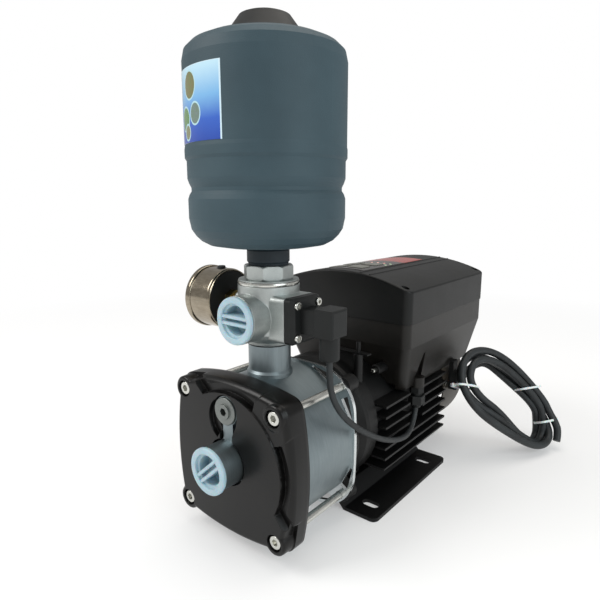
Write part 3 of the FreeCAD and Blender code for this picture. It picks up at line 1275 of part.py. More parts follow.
def coil_placement():
    """The coil's own x runs level, its y up the lean, and its z out of its flat side."""
    lean = math.radians(COIL_LEAN)
    turn = math.radians(COIL_TURN)
    out = vec(math.cos(lean) * math.cos(turn), -math.cos(lean) * math.sin(turn), math.sin(lean))
    level = vec(math.sin(turn), math.cos(turn), 0)
    up = out.cross(level)
    return FreeCAD.Placement(vec(*COIL_MIDDLE), FreeCAD.Rotation(level, up, out, "ZXY"))


def mains_cord():
    """Free stretch of mains cord between its strain relief and the coil."""
    return cord_tube("mains cord", MAINS_ROUTE, MAINS_R).cut(coil_body())


def build_all():
    os.makedirs("parts", exist_ok=True)
    save("front_plate", front_plate())
    save("inlet_cover", inlet_cover())
    save("vent_plug", vent_plug())
    save("tie_rods", *tie_rods())
    save("pump_sleeve", pump_sleeve())
    save("flange_ring", flange_ring())
    save("impellers", *[impeller(stage_y(k) + 3.0) for k in range(STAGES)])
    save("diffusers", *[diffuser(stage_y(k)) for k in range(STAGES)])
    save("pump_back_cover", pump_back_cover())
    save("shaft_seal", collar_y(SEAL_SHAFT_R + RUN_GAP, 17.95, RING_FRONT_Y - 6, RING_FRONT_Y + 2))
    save("shaft", shaft())
    save("front_shield", front_shield())
    save("motor_housing", motor_housing())
    save("stator_core", stator_core())
    save("winding_heads", *winding_heads())
    save("rotor_core", rotor_core())
    bearing_bore = BEARING_SHAFT_R + RUN_GAP
    places = (BEARING_FRONT_Y, BEARING_REAR_Y)
    save("bearings", *[collar_y(bearing_bore, BEARING_OD_R, y, y + BEARING_W) for y in places])
    save("rear_shield", rear_shield())
    save("fan", fan())
    save("fan_cover", fan_cover())
    save("cover_screws", *cover_screws())
    save("foot_plate", foot_plate())
    save("foot_screws", *foot_screws())
    save("drive_base", drive_base())
    save("drive_lid", drive_lid())
    save("lid_screws", *lid_screws())
    save("display_panel", display_panel())
    for k, (x, y) in enumerate(key_places()):
        save("key_%d" % (k + 1), key_cap(x, y))
    save("keypad_board", keypad_board())
    save("drive_stay", drive_stay())
    save("valve_body", valve_body())
    save("snap_ring", snap_ring())
    save("valve_cage", valve_cage())
    save("valve_cone", valve_cone())
    save("valve_spring", valve_spring())
    save("tank_nipple", tank_nipple())
    save("tank_neck", tank_neck())
    save("tank_shell", tank_shell())
    save("air_valve", air_valve())
    save("tank_cap", tank_cap())
    save("inlet_plug", transport_plug(0, INLET_END_Y, SHAFT_H, 42))
    save("outlet_plug", transport_plug(0, PORT_Y, PORT_Z, 0))
    save("gauge_case", gauge_case())
    save("gauge_bezel", gauge_bezel())
    save("gauge_lens", gauge_lens())
    save("gauge_dial", gauge_dial())
    save("gauge_pointer", gauge_pointer())
    save("gauge_socket", gauge_socket())
    save("sensor_flange", sensor_flange())
    save("sensor_screws", *sensor_screws())
    save("sensor_connector", sensor_connector())
    save("sensor_gland", sensor_gland())
    save("mains_gland", mains_gland())
    save("sensor_cable", sensor_cable())
    save("mains_cord", mains_cord())
    save("cord_coil", coil_body())


build_all()
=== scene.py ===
import math

import bmesh
import bpy
import numpy
from mathutils import Matrix, Vector


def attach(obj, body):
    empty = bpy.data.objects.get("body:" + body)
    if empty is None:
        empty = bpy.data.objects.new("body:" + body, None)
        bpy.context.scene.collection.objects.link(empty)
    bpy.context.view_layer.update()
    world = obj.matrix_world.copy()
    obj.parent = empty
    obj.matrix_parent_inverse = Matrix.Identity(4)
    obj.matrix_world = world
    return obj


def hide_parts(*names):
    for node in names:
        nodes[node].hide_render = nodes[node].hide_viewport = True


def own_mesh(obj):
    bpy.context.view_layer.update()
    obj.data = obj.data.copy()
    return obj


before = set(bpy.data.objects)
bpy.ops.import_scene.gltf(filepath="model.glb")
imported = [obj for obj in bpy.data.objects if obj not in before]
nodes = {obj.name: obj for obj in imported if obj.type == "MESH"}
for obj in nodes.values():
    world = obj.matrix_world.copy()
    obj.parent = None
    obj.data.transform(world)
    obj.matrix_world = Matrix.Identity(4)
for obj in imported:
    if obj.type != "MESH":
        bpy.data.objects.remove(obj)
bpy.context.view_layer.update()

# The camera stands to the right of the suction end, a little above the drive, and looks
# back along the pump. Its place and angles were solved from the plate, foot and uprights.
camera_place = (0.33983, -0.51143, 0.33142)
yaw = 0.68891839
pitch = 0.19008162
roll = -0.00317124
level_sight = math.cos(pitch)
back = Vector((math.sin(yaw) * level_sight, -math.cos(yaw) * level_sight, math.sin(pitch)))
level_right = (-back).cross(Vector((0, 0, 1))).normalized()
level_up = back.cross(level_right)
across = math.cos(roll) * level_right + math.sin(roll) * level_up
upward = math.cos(roll) * level_up - math.sin(roll) * level_right
camera_data = bpy.data.cameras.new("camera")
camera_data.sensor_width = 36.0
camera_data.lens = 31.16
camera = bpy.data.objects.new("camera", camera_data)
bpy.context.scene.collection.objects.link(camera)
camera_turn = Matrix((across, upward, back)).transposed().to_4x4()
camera.matrix_world = Matrix.Translation(camera_place) @ camera_turn
bpy.context.scene.camera = camera
bpy.context.scene.view_settings.view_transform = "Standard"


# The sensor's lead is a thin round cable, black sheathed. It drops out of the plug, sags
# past the jacket and the motor flange, and climbs into its gland under the drive.
sensor_cable_across = 0.006
sensor_route = [
    (0.0735, -0.1464, 0.199), (0.0735, -0.1464, 0.178), (0.075, -0.146, 0.157), (0.080, -0.138, 0.137),
    (0.085, -0.122, 0.120), (0.088, -0.101, 0.105), (0.088, -0.079, 0.092), (0.087, -0.056, 0.081),
    (0.086, -0.033, 0.073), (0.084, -0.011, 0.069), (0.079, 0.010, 0.071), (0.076, 0.023, 0.082),
    (0.076, 0.025, 0.098)]


def cable_curve(name, points, thickness):
    """Round cable along a smooth spline with these control points."""
    curve = bpy.data.curves.new(name, "CURVE")
    curve.dimensions = "3D"
    curve.resolution_u = 10
    curve.bevel_depth = thickness / 2
    curve.bevel_resolution = 7
    curve.use_fill_caps = True
    spline = curve.splines.new("NURBS")
    spline.points.add(len(points) - 1)
    for knot, place in zip(spline.points, points):
        knot.co = (*place, 1.0)
    spline.order_u = 3
    spline.use_endpoint_u = True
    cable = bpy.data.objects.new(name, curve)
    bpy.context.scene.collection.objects.link(cable)
    return cable


class Wire:
    """A value on its way through a finish's nodes; sums and products of wires add Math nodes."""

    def __init__(self, tree, socket):
        self.tree = tree
        self.socket = socket

    def node(self, kind, settings, inputs, output=0):
        """Adds a node, sets it up, plugs in values or wires, and gives one of its outputs."""
        made = self.tree.nodes.new("ShaderNode" + kind)
        for name, value in settings.items():
            setattr(made, name, value)
        for name, value in inputs.items():
            if isinstance(value, Wire):
                self.tree.links.new(value.socket, made.inputs[name])
            else:
                made.inputs[name].default_value = value
        return Wire(self.tree, made.outputs[output])

    def math(self, operation, *values):
        return self.node("Math", {"operation": operation}, dict(enumerate(values)))

    def __add__(self, other):
        return self.math("ADD", self, other)

    def __sub__(self, other):
        return self.math("SUBTRACT", self, other)

    def __mul__(self, other):
        return self.math("MULTIPLY", self, other)

    def __gt__(self, other):
        return self.math("GREATER_THAN", self, other)

    def __lt__(self, other):
        return self.math("LESS_THAN", self, other)

    __radd__ = __add__
    __rmul__ = __mul__

    def feed(self, shader, name):
        self.tree.links.new(self.socket, shader.inputs[name])


def shade(red, green, blue):
    """Linear colour from the red, green and blue that a screen shows, 0 to 255."""
    linear = []
    for value in (red, green, blue):
        part = value / 255
        linear.append(((part + 0.055) / 1.055) ** 2.4 if value > 10 else part / 12.92)
    return (*linear, 1.0)


def start_finish(name, **shine):
    """New finish: its material, its shader and a wire of places on the piece, in metres."""
    material = bpy.data.materials.new(name)
    material.use_nodes = True
    shader = material.node_tree.nodes["Principled BSDF"]
    for socket, value in shine.items():
        shader.inputs[socket.replace("_", " ")].default_value = value
    places = material.node_tree.nodes.new("ShaderNodeTexCoord")
    return material, shader, Wire(material.node_tree, places.outputs["Object"])


def noise(places, scale, detail=2.0, roughness=0.5):
    """Cloudy noise, 0 to 1, with that many lumps in a metre."""
    inputs = {"Vector": places, "Scale": scale, "Detail": detail, "Roughness": roughness}
    return places.node("TexNoise", {}, inputs)


def stretched(places, x, y, z):
    """Places scaled along each axis, so that noise on them runs in streaks."""
    return places.node("VectorMath", {"operation": "MULTIPLY"}, {0: places, 1: (x, y, z)})


def between(amount, low, high):
    """Colour that goes from low to high as a wire goes from 0 to 1."""
    return amount.node("Mix", {"data_type": "RGBA"}, {0: amount, 6: low, 7: high}, 2)


def span(amount, low, high, start=0.0, end=1.0):
    """A wire's range from low to high, turned into start to end and kept inside it."""
    inputs = {"Value": amount, "From Min": low, "From Max": high, "To Min": start, "To Max": end}
    return amount.node("MapRange", {}, inputs)


def bump(shader, height, distance, strength=1.0, edge=0.0):
    """Relief on the shader, over edges that are rounded off by a small radius."""
    inputs = {"Height": height, "Distance": distance, "Strength": strength}
    if edge:
        inputs["Normal"] = height.node("Bevel", {"samples": 4}, {"Radius": edge})
    height.node("Bump", {}, inputs).feed(shader, "Normal")


def sheath_finish():
    """Black cable sheath: dull, with faint scuffs along it and a chalky bloom."""
    material, shader, places = start_finish("cable_sheath", Specular_IOR_Level=0.45)
    bloom = noise(places, 60.0, 4.0)
    scuff = span(noise(places, 420.0, 3.0), 0.55, 0.75)
    between(span(bloom, 0.3, 0.7), shade(24, 27, 28), shade(38, 43, 45)).feed(shader, "Base Color")
    (0.42 + 0.16 * bloom + 0.15 * scuff).feed(shader, "Roughness")
    bump(shader, noise(places, 1500.0, 2.0), 0.00008, 0.6)
    return material


sheath = sheath_finish()
sensor_cable = cable_curve("sensor_lead", sensor_route, sensor_cable_across)
sensor_cable.data.materials.append(sheath)
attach(sensor_cable, "pump")
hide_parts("sensor_cable")


# The mains lead is a thick round rubber cord. It leaves its strain relief behind the drive
# and is wound into a leaning coil of three turns; its cut end hangs down on the right.
mains_across = 0.0096
mains_route = [(0.083, 0.132, 0.100), (0.084, 0.150, 0.100), (0.088, 0.168, 0.107), (0.100, 0.181, 0.112)]
cut_end = [(0.1785, 0.218, 0.0462), (0.1868, 0.2174, 0.0349), (0.1921, 0.216, 0.0232),
           (0.1925, 0.2087, 0.0123)]
coil_middle = Vector((0.135, 0.150, 0.0685))
coil_lean = math.radians(25)
coil_turn = math.radians(20)
coil_level = Vector((math.sin(coil_turn), math.cos(coil_turn), 0))
coil_out = Vector((math.cos(coil_lean) * math.cos(coil_turn), -math.cos(coil_lean) * math.sin(coil_turn),
                   math.sin(coil_lean)))
coil_up = coil_out.cross(coil_level)
coil_centre = Vector((0.0108, 0.004))
coil_slant = math.radians(-45.5)
coil_along = Vector((math.cos(coil_slant), math.sin(coil_slant)))
coil_beside = Vector((-coil_along.y, coil_along.x))
coil_long = 0.086
coil_wide = 0.047
coil_egg = -0.008
coil_bluntness = 0.62
coil_start = 60
coil_step = 30
# Where the cord joins the coil, then its side step and depth at twelve places round each
# turn, clockwise from the upper right: an angle in degrees and steps in millimetres
coil_entry = (92, -12.5, -11)
coil_turns = [
    [(-14, 0), (-12.5, -9.5), (-5, -16), (-5, -15), (-17, -12), (-30, -6),
     (-22, -1), (-12.5, 4.5), (-14.5, 5), (-12.5, 5), (-10.5, 5), (-9.4, 5)],
    [(-9.6, 5), (-10.5, 0.5), (-5, -6.5), (-3, -5.2), (-12, -3), (-19, -3),
     (-12, -5), (-5, -5), (-6, -5.3), (-6, -5.3), (-6, -5.3), (-4.5, -5.2)],
    [(-4.5, -5.2), (-1, -3.5), (-0.5, 3.2), (-0.5, 5), (-3, 5), (-4, 4.5),
     (1, 5), (4, 5), (1, 5), (0, 5), (1, 5), (1.5, 5)],
    [(0.8, 5)],
]


def coil_outline(angle):
    """Point of the coil's blunt egg-shaped middle line, in the coil's own plane."""
    c = math.cos(angle)
    reach = coil_long * (c ** coil_bluntness if c > 0 else c)
    return coil_centre + reach * coil_along + (coil_wide + coil_egg * c) * math.sin(angle) * coil_beside


def coil_place(angle, side, depth):
    """Point beside the coil's middle line, at an angle in degrees; side and depth in millimetres."""
    a = math.radians(angle)
    slope = (coil_outline(a + 0.001) - coil_outline(a - 0.001)).normalized()
    flat = coil_outline(a) + side / 1000 * Vector((slope.y, -slope.x))
    return coil_middle + coil_level * flat.x + coil_up * flat.y + coil_out * depth / 1000


mains_points = [Vector(place) for place in mains_route] + [coil_place(*coil_entry)]
coil_angle = coil_start
for strand in coil_turns:
    for side, depth in strand:
        mains_points.append(coil_place(coil_angle, side, depth))
        coil_angle -= coil_step
mains_points += [Vector(place) for place in cut_end]
mains_lead = cable_curve("mains_lead", mains_points, mains_across)
mains_lead.data.materials.append(sheath)
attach(mains_lead, "pump")
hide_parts("mains_cord", "cord_coil")


# Three white nylon ties hold the coil. Each is a flat strap pulled round the strands
# through a square head. The head's half sizes and edge are in millimetres.
tie_wide = 0.0026
tie_thick = 0.0011
tie_half_deep = 0.0103
tie_steps = 48
tie_side_bluntness = 0.55
tie_deep_bluntness = 0.62
tie_head = Vector((2.1, 2.3, 2.3))
tie_head_edge = 0.6
tie_head_aside = 0.0012
tie_head_behind = 0.003
tie_ends = {"cable_tie_left": ((-136, -22), (-150, 9)), "cable_tie_upper": ((86, -20), (72, 9.5)),
            "cable_tie_right": ((26, -21), (31, 11))}


def mesh_piece(name, bm, material, body="pump", smooth=40):
    """Object from a bmesh, with its finish, riding on a body."""
    mesh = bpy.data.meshes.new(name)
    bm.normal_update()
    bm.to_mesh(mesh)
    bm.free()
    mesh.shade_smooth()
    mesh.set_sharp_from_angle(angle=math.radians(smooth))
    piece = bpy.data.objects.new(name, mesh)
    bpy.context.scene.collection.objects.link(piece)
    mesh.materials.append(material)
    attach(piece, body)
    return piece


def facing(place, along, depth):
    """Matrix of a piece at a place: local X along one direction and local Z along another."""
    a = Vector(along).normalized()
    d = Vector(depth).normalized()
    return Matrix.Translation(place) @ Matrix((a, d.cross(a), d)).transposed().to_4x4()


def block(bm, place, low, high, edge=0.0, segments=3):
    """Adds a box with eased edges to a bmesh, between two corners in millimetres."""
    size = [(b - a) / 1000 for a, b in zip(low, high)]
    middle = Vector([(a + b) / 2000 for a, b in zip(low, high)])
    made = bmesh.ops.create_cube(bm, size=1.0)["verts"]
    matrix = place @ Matrix.Translation(middle) @ Matrix.Diagonal((*size, 1))
    bmesh.ops.transform(bm, matrix=matrix, verts=made)
    if edge:
        rim = list({e for v in made for e in v.link_edges})
        bmesh.ops.bevel(bm, geom=rim, offset=edge / 1000, segments=segments, affect="EDGES")


def bridge(bm, first, second):
    """Joins two closed rings of vertices with a band of faces."""
    for k in range(len(first)):
        n = (k + 1) % len(first)
        corners = list(dict.fromkeys((first[k], first[n], second[n], second[k])))
        if len(corners) > 2:
            bm.faces.new(corners)


def nylon_finish():
    """White nylon: slightly clear, with a fine grain."""
    material, shader, places = start_finish("white_nylon", Subsurface_Weight=0.2, Subsurface_Scale=0.002)
    cloud = noise(places, 300.0)
    between(cloud, shade(205, 214, 214), shade(235, 240, 240)).feed(shader, "Base Color")
    (0.35 + 0.2 * cloud).feed(shader, "Roughness")
    bump(shader, noise(places, 2500.0), 0.00005, 0.4)
    return material


def cable_tie(name, start, end):
    """Tie round the strands, from one angle and side step of the coil to another."""
    inner = coil_place(*start, 0)
    outer = coil_place(*end, 0)
    centre = (inner + outer) / 2
    half_side = (outer - inner).length / 2
    sideways = (outer - inner).normalized()
    axis = sideways.cross(coil_out).normalized()
    bm = bmesh.new()
    rings = []
    for k in range(tie_steps):
        a = 2 * math.pi * k / tie_steps
        side = math.copysign(abs(math.cos(a)) ** tie_side_bluntness, math.cos(a)) * half_side
        deep = math.copysign(abs(math.sin(a)) ** tie_deep_bluntness, math.sin(a)) * tie_half_deep
        out = sideways * side + coil_out * deep
        lift = out.normalized() * tie_thick
        half = axis * tie_wide / 2
        corners = (out - half, out + lift - half, out + lift + half, out + half)
        rings.append([bm.verts.new(centre + corner) for corner in corners])
    for k in range(tie_steps):
        bridge(bm, rings[k], rings[(k + 1) % tie_steps])
    head = centre + sideways * (half_side + tie_head_aside) - coil_out * tie_head_behind
    block(bm, facing(head, sideways, axis), -tie_head, tie_head, tie_head_edge, 2)
    return mesh_piece(name, bm, nylon)


nylon = nylon_finish()
ties = [cable_tie(name, start, end) for name, (start, end) in tie_ends.items()]


# The pump stands on a plain pale floor under soft studio light: a broad key from the upper
# left, a weaker one from the right and a wide top light, in front of a white background.
floor_radius = 12
floor_corners = 64
floor_level = -0.0002


def floor_finish():
    """White floor that keeps the pump's shadow and melts into the background far away."""
    material, shader, places = start_finish("studio_floor", Roughness=0.9, Specular_IOR_Level=0.1)
    tree = material.node_tree
    between(noise(places, 2.0), shade(243, 243, 243), shade(248, 248, 248)).feed(shader, "Base Color")
    away = places.node("VectorMath", {"operation": "LENGTH"}, {0: places}, 1)
    glow = tree.nodes.new("ShaderNodeEmission")
    mixed = tree.nodes.new("ShaderNodeMixShader")
    span(away, 0.4, 1.4, 0.30, 1.0).feed(mixed, 0)
    tree.links.new(shader.outputs[0], mixed.inputs[1])
    tree.links.new(glow.outputs[0], mixed.inputs[2])
    tree.links.new(mixed.outputs[0], tree.nodes["Material Output"].inputs["Surface"])
    return material


floor_rim = []
for k in range(floor_corners):
    a = 2 * math.pi * k / floor_corners
    floor_rim.append((floor_radius * math.cos(a), floor_radius * math.sin(a), floor_level))
floor_mesh = bpy.data.meshes.new("studio_floor")
floor_mesh.from_pydata(floor_rim, [], [tuple(range(floor_corners))])
floor_mesh.materials.append(floor_finish())
studio_floor = bpy.data.objects.new("studio_floor", floor_mesh)
bpy.context.scene.collection.objects.link(studio_floor)

world = bpy.data.worlds.new("studio")
bpy.context.scene.world = world
world.use_nodes = True
sky = world.node_tree
sky.nodes["Background"].inputs["Color"].default_value = (1, 1, 1, 1)
seen = sky.nodes.new("ShaderNodeLightPath")
open_view = Wire(sky, seen.outputs["Is Camera Ray"]) + Wire(sky, seen.outputs["Is Transmission Ray"])
mirrored = Wire(sky, seen.outputs["Is Glossy Ray"])
daylight = 0.55 + open_view * 0.45 - mirrored * 0.10
daylight.math("MINIMUM", daylight, 1.0).feed(sky.nodes["Background"], "Strength")


def soft_lamp(name, place, size, power, tint):
    """Large square lamp that looks at the middle of the pump."""
    data = bpy.data.lights.new(name, "AREA")
    data.shape = "RECTANGLE"
    data.size = size
    data.size_y = size
    data.energy = power
    data.color = tint
    lamp = bpy.data.objects.new(name, data)
    bpy.context.scene.collection.objects.link(lamp)
    lamp.location = place
    lamp.rotation_euler = (Vector((0, 0, 0.2)) - Vector(place)).to_track_quat("-Z", "Y").to_euler()


soft_lamp("key_lamp", (-0.9, -1.3, 1.5), 1.0, 22, (1.0, 0.99, 0.97))
soft_lamp("fill_lamp", (1.7, -0.3, 0.9), 1.2, 12, (0.88, 0.97, 1.0))
soft_lamp("top_lamp", (0.1, 0.3, 2.0), 1.6, 15, (1.0, 0.95, 0.88))


# The front plate is a black painted casting with a curved groove, a low lip outside it, a
# raised wedge and a lobe round each of the four long screws that clamp the pump end. Sizes
# are in millimetres from the shaft's axis, and depths are under the face.
shaft_z = 90.0
face_y = -208.0
plate_thick = 27.0
rod_half_square = 58.9
rim_bulge = 79
rim_corner = 14
rim_drop = 13
rim_edge = 6
face_bulges = {"right": 76, "left": 72.5, "top": 76, "bottom": 72.5}
face_corner = 7
face_edge = 4
groove_reach = (67.5, 200)
groove_middle = 45
groove_half = 72
groove_depth = 6.5
groove_ends = [(60.6, -31), (84, -57.6), (94, -57), (69.3, -24.3), (63, -24)]
lip_reach = (75.3, 200)
lip_drop = 2.8
lip_edge = 7
wedge = [(33.1, 58.4), (56.7, 31.5), (68.5, 36.5), (92, 62), (92, 92), (62, 92), (36.5, 68.5)]
wedge_drop = 1.4
lobe_radius = 12.5
lobe_edge = 3
bore_radius = 7.7
bore_depth = 9.2
pipe_window = 22.6
vent_window = 14.8
vent_rise = 50.5
neck = [(6.2, 20), (6.2, 28), (12.4, 40), (13.0, 46)]
neck_gap = 1.6
window_depth = 7.9
crescent_rise = 41
crescent_reach = (10.2, 22)
crescent_middle = 178
crescent_half = 60
crescent_depth = 4.5
pocket_radius = 73.3
pocket_depth = 7.5
edge_band = 23.0
back_chamfer = 0.6
window_margin = 0.75


def casting_finish(name, dark, light, skin, gloss, edge=0.0012):
    """Painted casting: cloudy paint, a fine sand skin and edges rubbed paler."""
    material, shader, places = start_finish(name, Specular_IOR_Level=0.28)
    cloud = noise(places, 35.0, 5.0, 0.6)
    speck = noise(places, 900.0, 3.0)
    worn = places.node("NewGeometry", {}, {}, "Pointiness")
    rubbed = span(worn, 0.52, 0.60, 0.0, 0.5)
    paint = between(span(cloud, 0.35, 0.65), dark, light)
    between(rubbed, paint, light).feed(shader, "Base Color")
    (gloss + 0.12 * cloud + 0.10 * speck).feed(shader, "Roughness")
    bump(shader, 0.7 * speck + 0.3 * cloud, skin, 0.7, edge)
    return material


def bowed_square(x, z, corner_r, right, left, top, bottom):
    """Distance inside a square whose sides bow out between round corners at the tie rods."""
    half = rod_half_square
    ax = numpy.abs(x)
    az = numpy.abs(z)
    gaps = []
    beyond = []
    upper_or_lower = numpy.where(z > 0, top, bottom)
    right_or_left = numpy.where(x > 0, right, left)
    for level, other, bulge in ((az, ax, upper_or_lower), (ax, az, right_or_left)):
        g = bulge - corner_r
        c = (2 * half ** 2 - g ** 2) / (2 * (g - half))
        gaps.append(numpy.hypot(other, level + c) - (bulge + c - corner_r))
        beyond.append((other - half) * (half + c) - (level - half) * half > 0)
    corner = numpy.hypot(ax - half, az - half)
    return corner_r - numpy.where(beyond[0] & beyond[1], corner, numpy.maximum(*gaps))


def rim_inside(x, z):
    """Distance inside the plate's own outline."""
    return bowed_square(x, z, rim_corner, rim_bulge, rim_bulge, rim_bulge, rim_bulge)


def ring_inside(x, z, reach, middle, half_angle):
    """Distance inside a part of a flat ring; angles in degrees from +X towards +Z."""
    r = numpy.hypot(x, z)
    turn = (numpy.arctan2(z, x) - math.radians(middle) + math.pi) % (2 * math.pi) - math.pi
    ends = r * (math.radians(half_angle) - numpy.abs(turn))
    return numpy.minimum(numpy.minimum(r - reach[0], reach[1] - r), ends)


def polygon_inside(x, z, corners):
    """Distance inside a polygon."""
    nearest = numpy.full(x.shape, 1e9)
    inside = numpy.zeros(x.shape, bool)
    for (ax, az), (bx, bz) in zip(corners, corners[1:] + corners[:1]):
        ex = bx - ax
        ez = bz - az
        t = numpy.clip(((x - ax) * ex + (z - az) * ez) / (ex ** 2 + ez ** 2), 0, 1)
        nearest = numpy.minimum(nearest, numpy.hypot(x - ax - t * ex, z - az - t * ez))
        inside ^= ((az > z) != (bz > z)) & (x < ex * (z - az) / (ez or 1e-9) + ax)
    return numpy.where(inside, nearest, -nearest)


def window_inside(x, z):
    """Distance inside the keyhole for the suction pipe, its neck and the vent."""
    outline = neck + [(-px, pz) for px, pz in reversed(neck)]
    pipe = pipe_window - numpy.hypot(x, z)
    vent = vent_window - numpy.hypot(x, z - vent_rise)
    return numpy.maximum(numpy.maximum(pipe, vent), polygon_inside(x, z, outline) + neck_gap)


def round_edge(inside, radius):
    """Drop of a rounded edge at a distance inside an outline."""
    t = numpy.clip(inside, 0, radius)
    return radius - numpy.sqrt(radius ** 2 - (radius - t) ** 2)


def melted(depth, other, inside, half=0.4):
    """The first depth outside an outline and the other inside it, with a steep slope between."""
    t = numpy.clip((inside + half) / (2 * half), 0, 1)
    return depth + (other - depth) * t * t * (3 - 2 * t)


def plate_depth(x, z):
    """Depth of the casting under its face at each place."""
    face = bowed_square(x, z, face_corner, **face_bulges)
    rim = rim_inside(x, z)
    depth = round_edge(face, face_edge) + (rim_drop - face_edge) * numpy.clip(-face, 0, 1)
    groove = ring_inside(x, z, groove_reach, groove_middle, groove_half)
    depth = melted(depth, numpy.maximum(depth, groove_depth), groove)
    lip = ring_inside(x, z, lip_reach, groove_middle, groove_half)
    depth = melted(depth, numpy.minimum(depth, lip_drop + round_edge(rim, lip_edge)), lip)
    raised = numpy.minimum(depth, wedge_drop + round_edge(rim, rim_edge))
    depth = melted(depth, raised, polygon_inside(x, z, wedge))
    from_rod = numpy.hypot(numpy.abs(x) - rod_half_square, numpy.abs(z) - rod_half_square)
    lobe = lobe_radius - from_rod
    depth = melted(depth, numpy.minimum(depth, round_edge(lobe, lobe_edge)), lobe)
    depth = numpy.minimum(depth, rim_drop + round_edge(rim, rim_edge))
    mirrored_ends = [(b, a) for a, b in groove_ends]
    crescent = ring_inside(x, z - crescent_rise, crescent_reach, crescent_middle, crescent_half)
    for floor, inside in ((groove_depth, polygon_inside(x, z, groove_ends)),
                          (groove_depth, polygon_inside(x, z, mirrored_ends)),
                          (crescent_depth, crescent), (bore_depth, bore_radius - from_rod),
                          (window_depth, window_inside(x, z))):
        depth = melted(depth, numpy.maximum(depth, floor), inside)
    return depth


def rim_radius(angles):
    """Distance from the shaft's axis to the plate's outline, found by halving, at each angle."""
    low = numpy.full(len(angles), 60.0)
    high = numpy.full(len(angles), 110.0)
    for _ in range(30):
        middle = (low + high) / 2
        inside = rim_inside(middle * numpy.cos(angles), middle * numpy.sin(angles)) > 0
        low = numpy.where(inside, middle, low)
        high = numpy.where(inside, high, middle)
    return low


def plate_mesh(steps=800, rows=170, pipe_side=21.5):
    """Front of the plate as a sheet round the pipe, its edge, its back and the pocket's wall."""
    angles = numpy.arange(steps) * 2 * math.pi / steps
    outer = rim_radius(angles)
    share = 1 - (1 - numpy.linspace(0, 1, rows)) ** 1.3
    radius = pipe_side + (outer[None, :] - pipe_side) * share[:, None]
    x = radius * numpy.cos(angles)
    z = radius * numpy.sin(angles)
    depth = plate_depth(x, z)
    depth[-1] = rim_drop + rim_edge
    pocket = numpy.full(steps, pocket_radius)
    rings = list(zip(radius, depth))
    rings += [(outer, edge_band), (outer, plate_thick - back_chamfer), (outer - back_chamfer, plate_thick),
              (pocket, plate_thick), (pocket, pocket_depth)]
    bm = bmesh.new()
    made = []
    for r, d in rings:
        y = face_y + numpy.broadcast_to(d, steps)
        ring = numpy.stack((r * numpy.cos(angles), y, shaft_z + r * numpy.sin(angles)), 1).tolist()
        made.append([bm.verts.new(Vector(place) / 1000) for place in ring])
    window = window_inside(x, z) > window_margin
    for j in range(len(rings) - 1):
        for k in range(steps):
            n = (k + 1) % steps
            if j >= rows - 1 or not (window[j, k] and window[j + 1, n]):
                bm.faces.new((made[j][k], made[j][n], made[j + 1][n], made[j + 1][k]))
    bmesh.ops.delete(bm, geom=[v for v in bm.verts if not v.link_faces], context="VERTS")
    return bm


plate_paint = casting_finish("plate_paint", shade(6, 6, 6), shade(13, 12, 11), 0.00008, 0.20, 0.0003)
front_plate = mesh_piece("plate_casting", plate_mesh(), plate_paint, smooth=50)
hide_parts("front_plate")


# The inlet cover is deep-drawn stainless steel with the suction pipe and the vent boss
# welded in; the vent plug is a dull turned disc with a socket for the key.
def smooth_node(name, material, angle=35):
    """Gives a solid of the frame its finish and soft shading between its facets."""
    data = nodes[name].data
    data.materials.clear()
    data.materials.append(material)
    data.shade_smooth()
    data.set_sharp_from_angle(angle=math.radians(angle))


def sheet_steel_finish(name, dark, light, streak, rough, edge=0.0004):
    """Stainless sheet: fine rolling lines along one axis over slow cloudy marks."""
    material, shader, places = start_finish(name, Metallic=1.0)
    lines = noise(stretched(places, *streak), 1.0, 3.0)
    cloud = noise(places, 18.0, 4.0, 0.6)
    tone = span(0.6 * cloud + 0.4 * lines, 0.3, 0.7)
    between(tone, dark, light).feed(shader, "Base Color")
    (rough + 0.10 * lines + 0.10 * cloud).feed(shader, "Roughness")
    bump(shader, lines, 0.00003, 0.5, edge)
    return material


matt_steel = sheet_steel_finish("rolled_steel", shade(122, 133, 137), shade(146, 156, 159),
                                (60, 900, 60), 0.34)
smooth_node("inlet_cover", matt_steel)
dull_steel = sheet_steel_finish("dull_disc", shade(112, 116, 114), shade(140, 144, 141),
                                (600, 60, 600), 0.36, 0.0006)
smooth_node("vent_plug", dull_steel)


# Four tie rods with socket heads run from the plate to the motor shield. They are zinc
# plated steel, and their heads sit in the plate's counterbores.
bright_steel = sheet_steel_finish("turned_steel", shade(186, 186, 180), shade(222, 222, 216),
                                  (2500, 60, 2500), 0.16, 0.0003)
smooth_node("tie_rods", bright_steel)


# The jacket is rolled stainless sheet with the outlet pipe welded in its top. The ring
# plate behind it is polished and punched with windows beside each rod.
polished_steel = sheet_steel_finish("polished_plate", shade(205, 212, 214), shade(238, 242, 242),
                                    (700, 700, 700), 0.10, 0.0003)
smooth_node("pump_sleeve", matt_steel)
smooth_node("flange_ring", polished_steel)


# Inside the jacket, out of sight: three pressed stainless stages in their cups, the rear
# casing, the seal and the shaft, all in the same matt steel.
for name in ("impellers", "diffusers", "pump_back_cover", "shaft_seal", "shaft"):
    smooth_node(name, matt_steel)


# The motor is finned aluminium under black paint; its shields are cast and painted too, and
# so is the stay in front of the drive.
motor_paint = casting_finish("motor_paint", shade(8, 9, 9), shade(18, 18, 18), 0.0002, 0.34, 0.0006)
for name in ("front_shield", "motor_housing", "rear_shield", "drive_stay"):
    smooth_node(name, motor_paint)


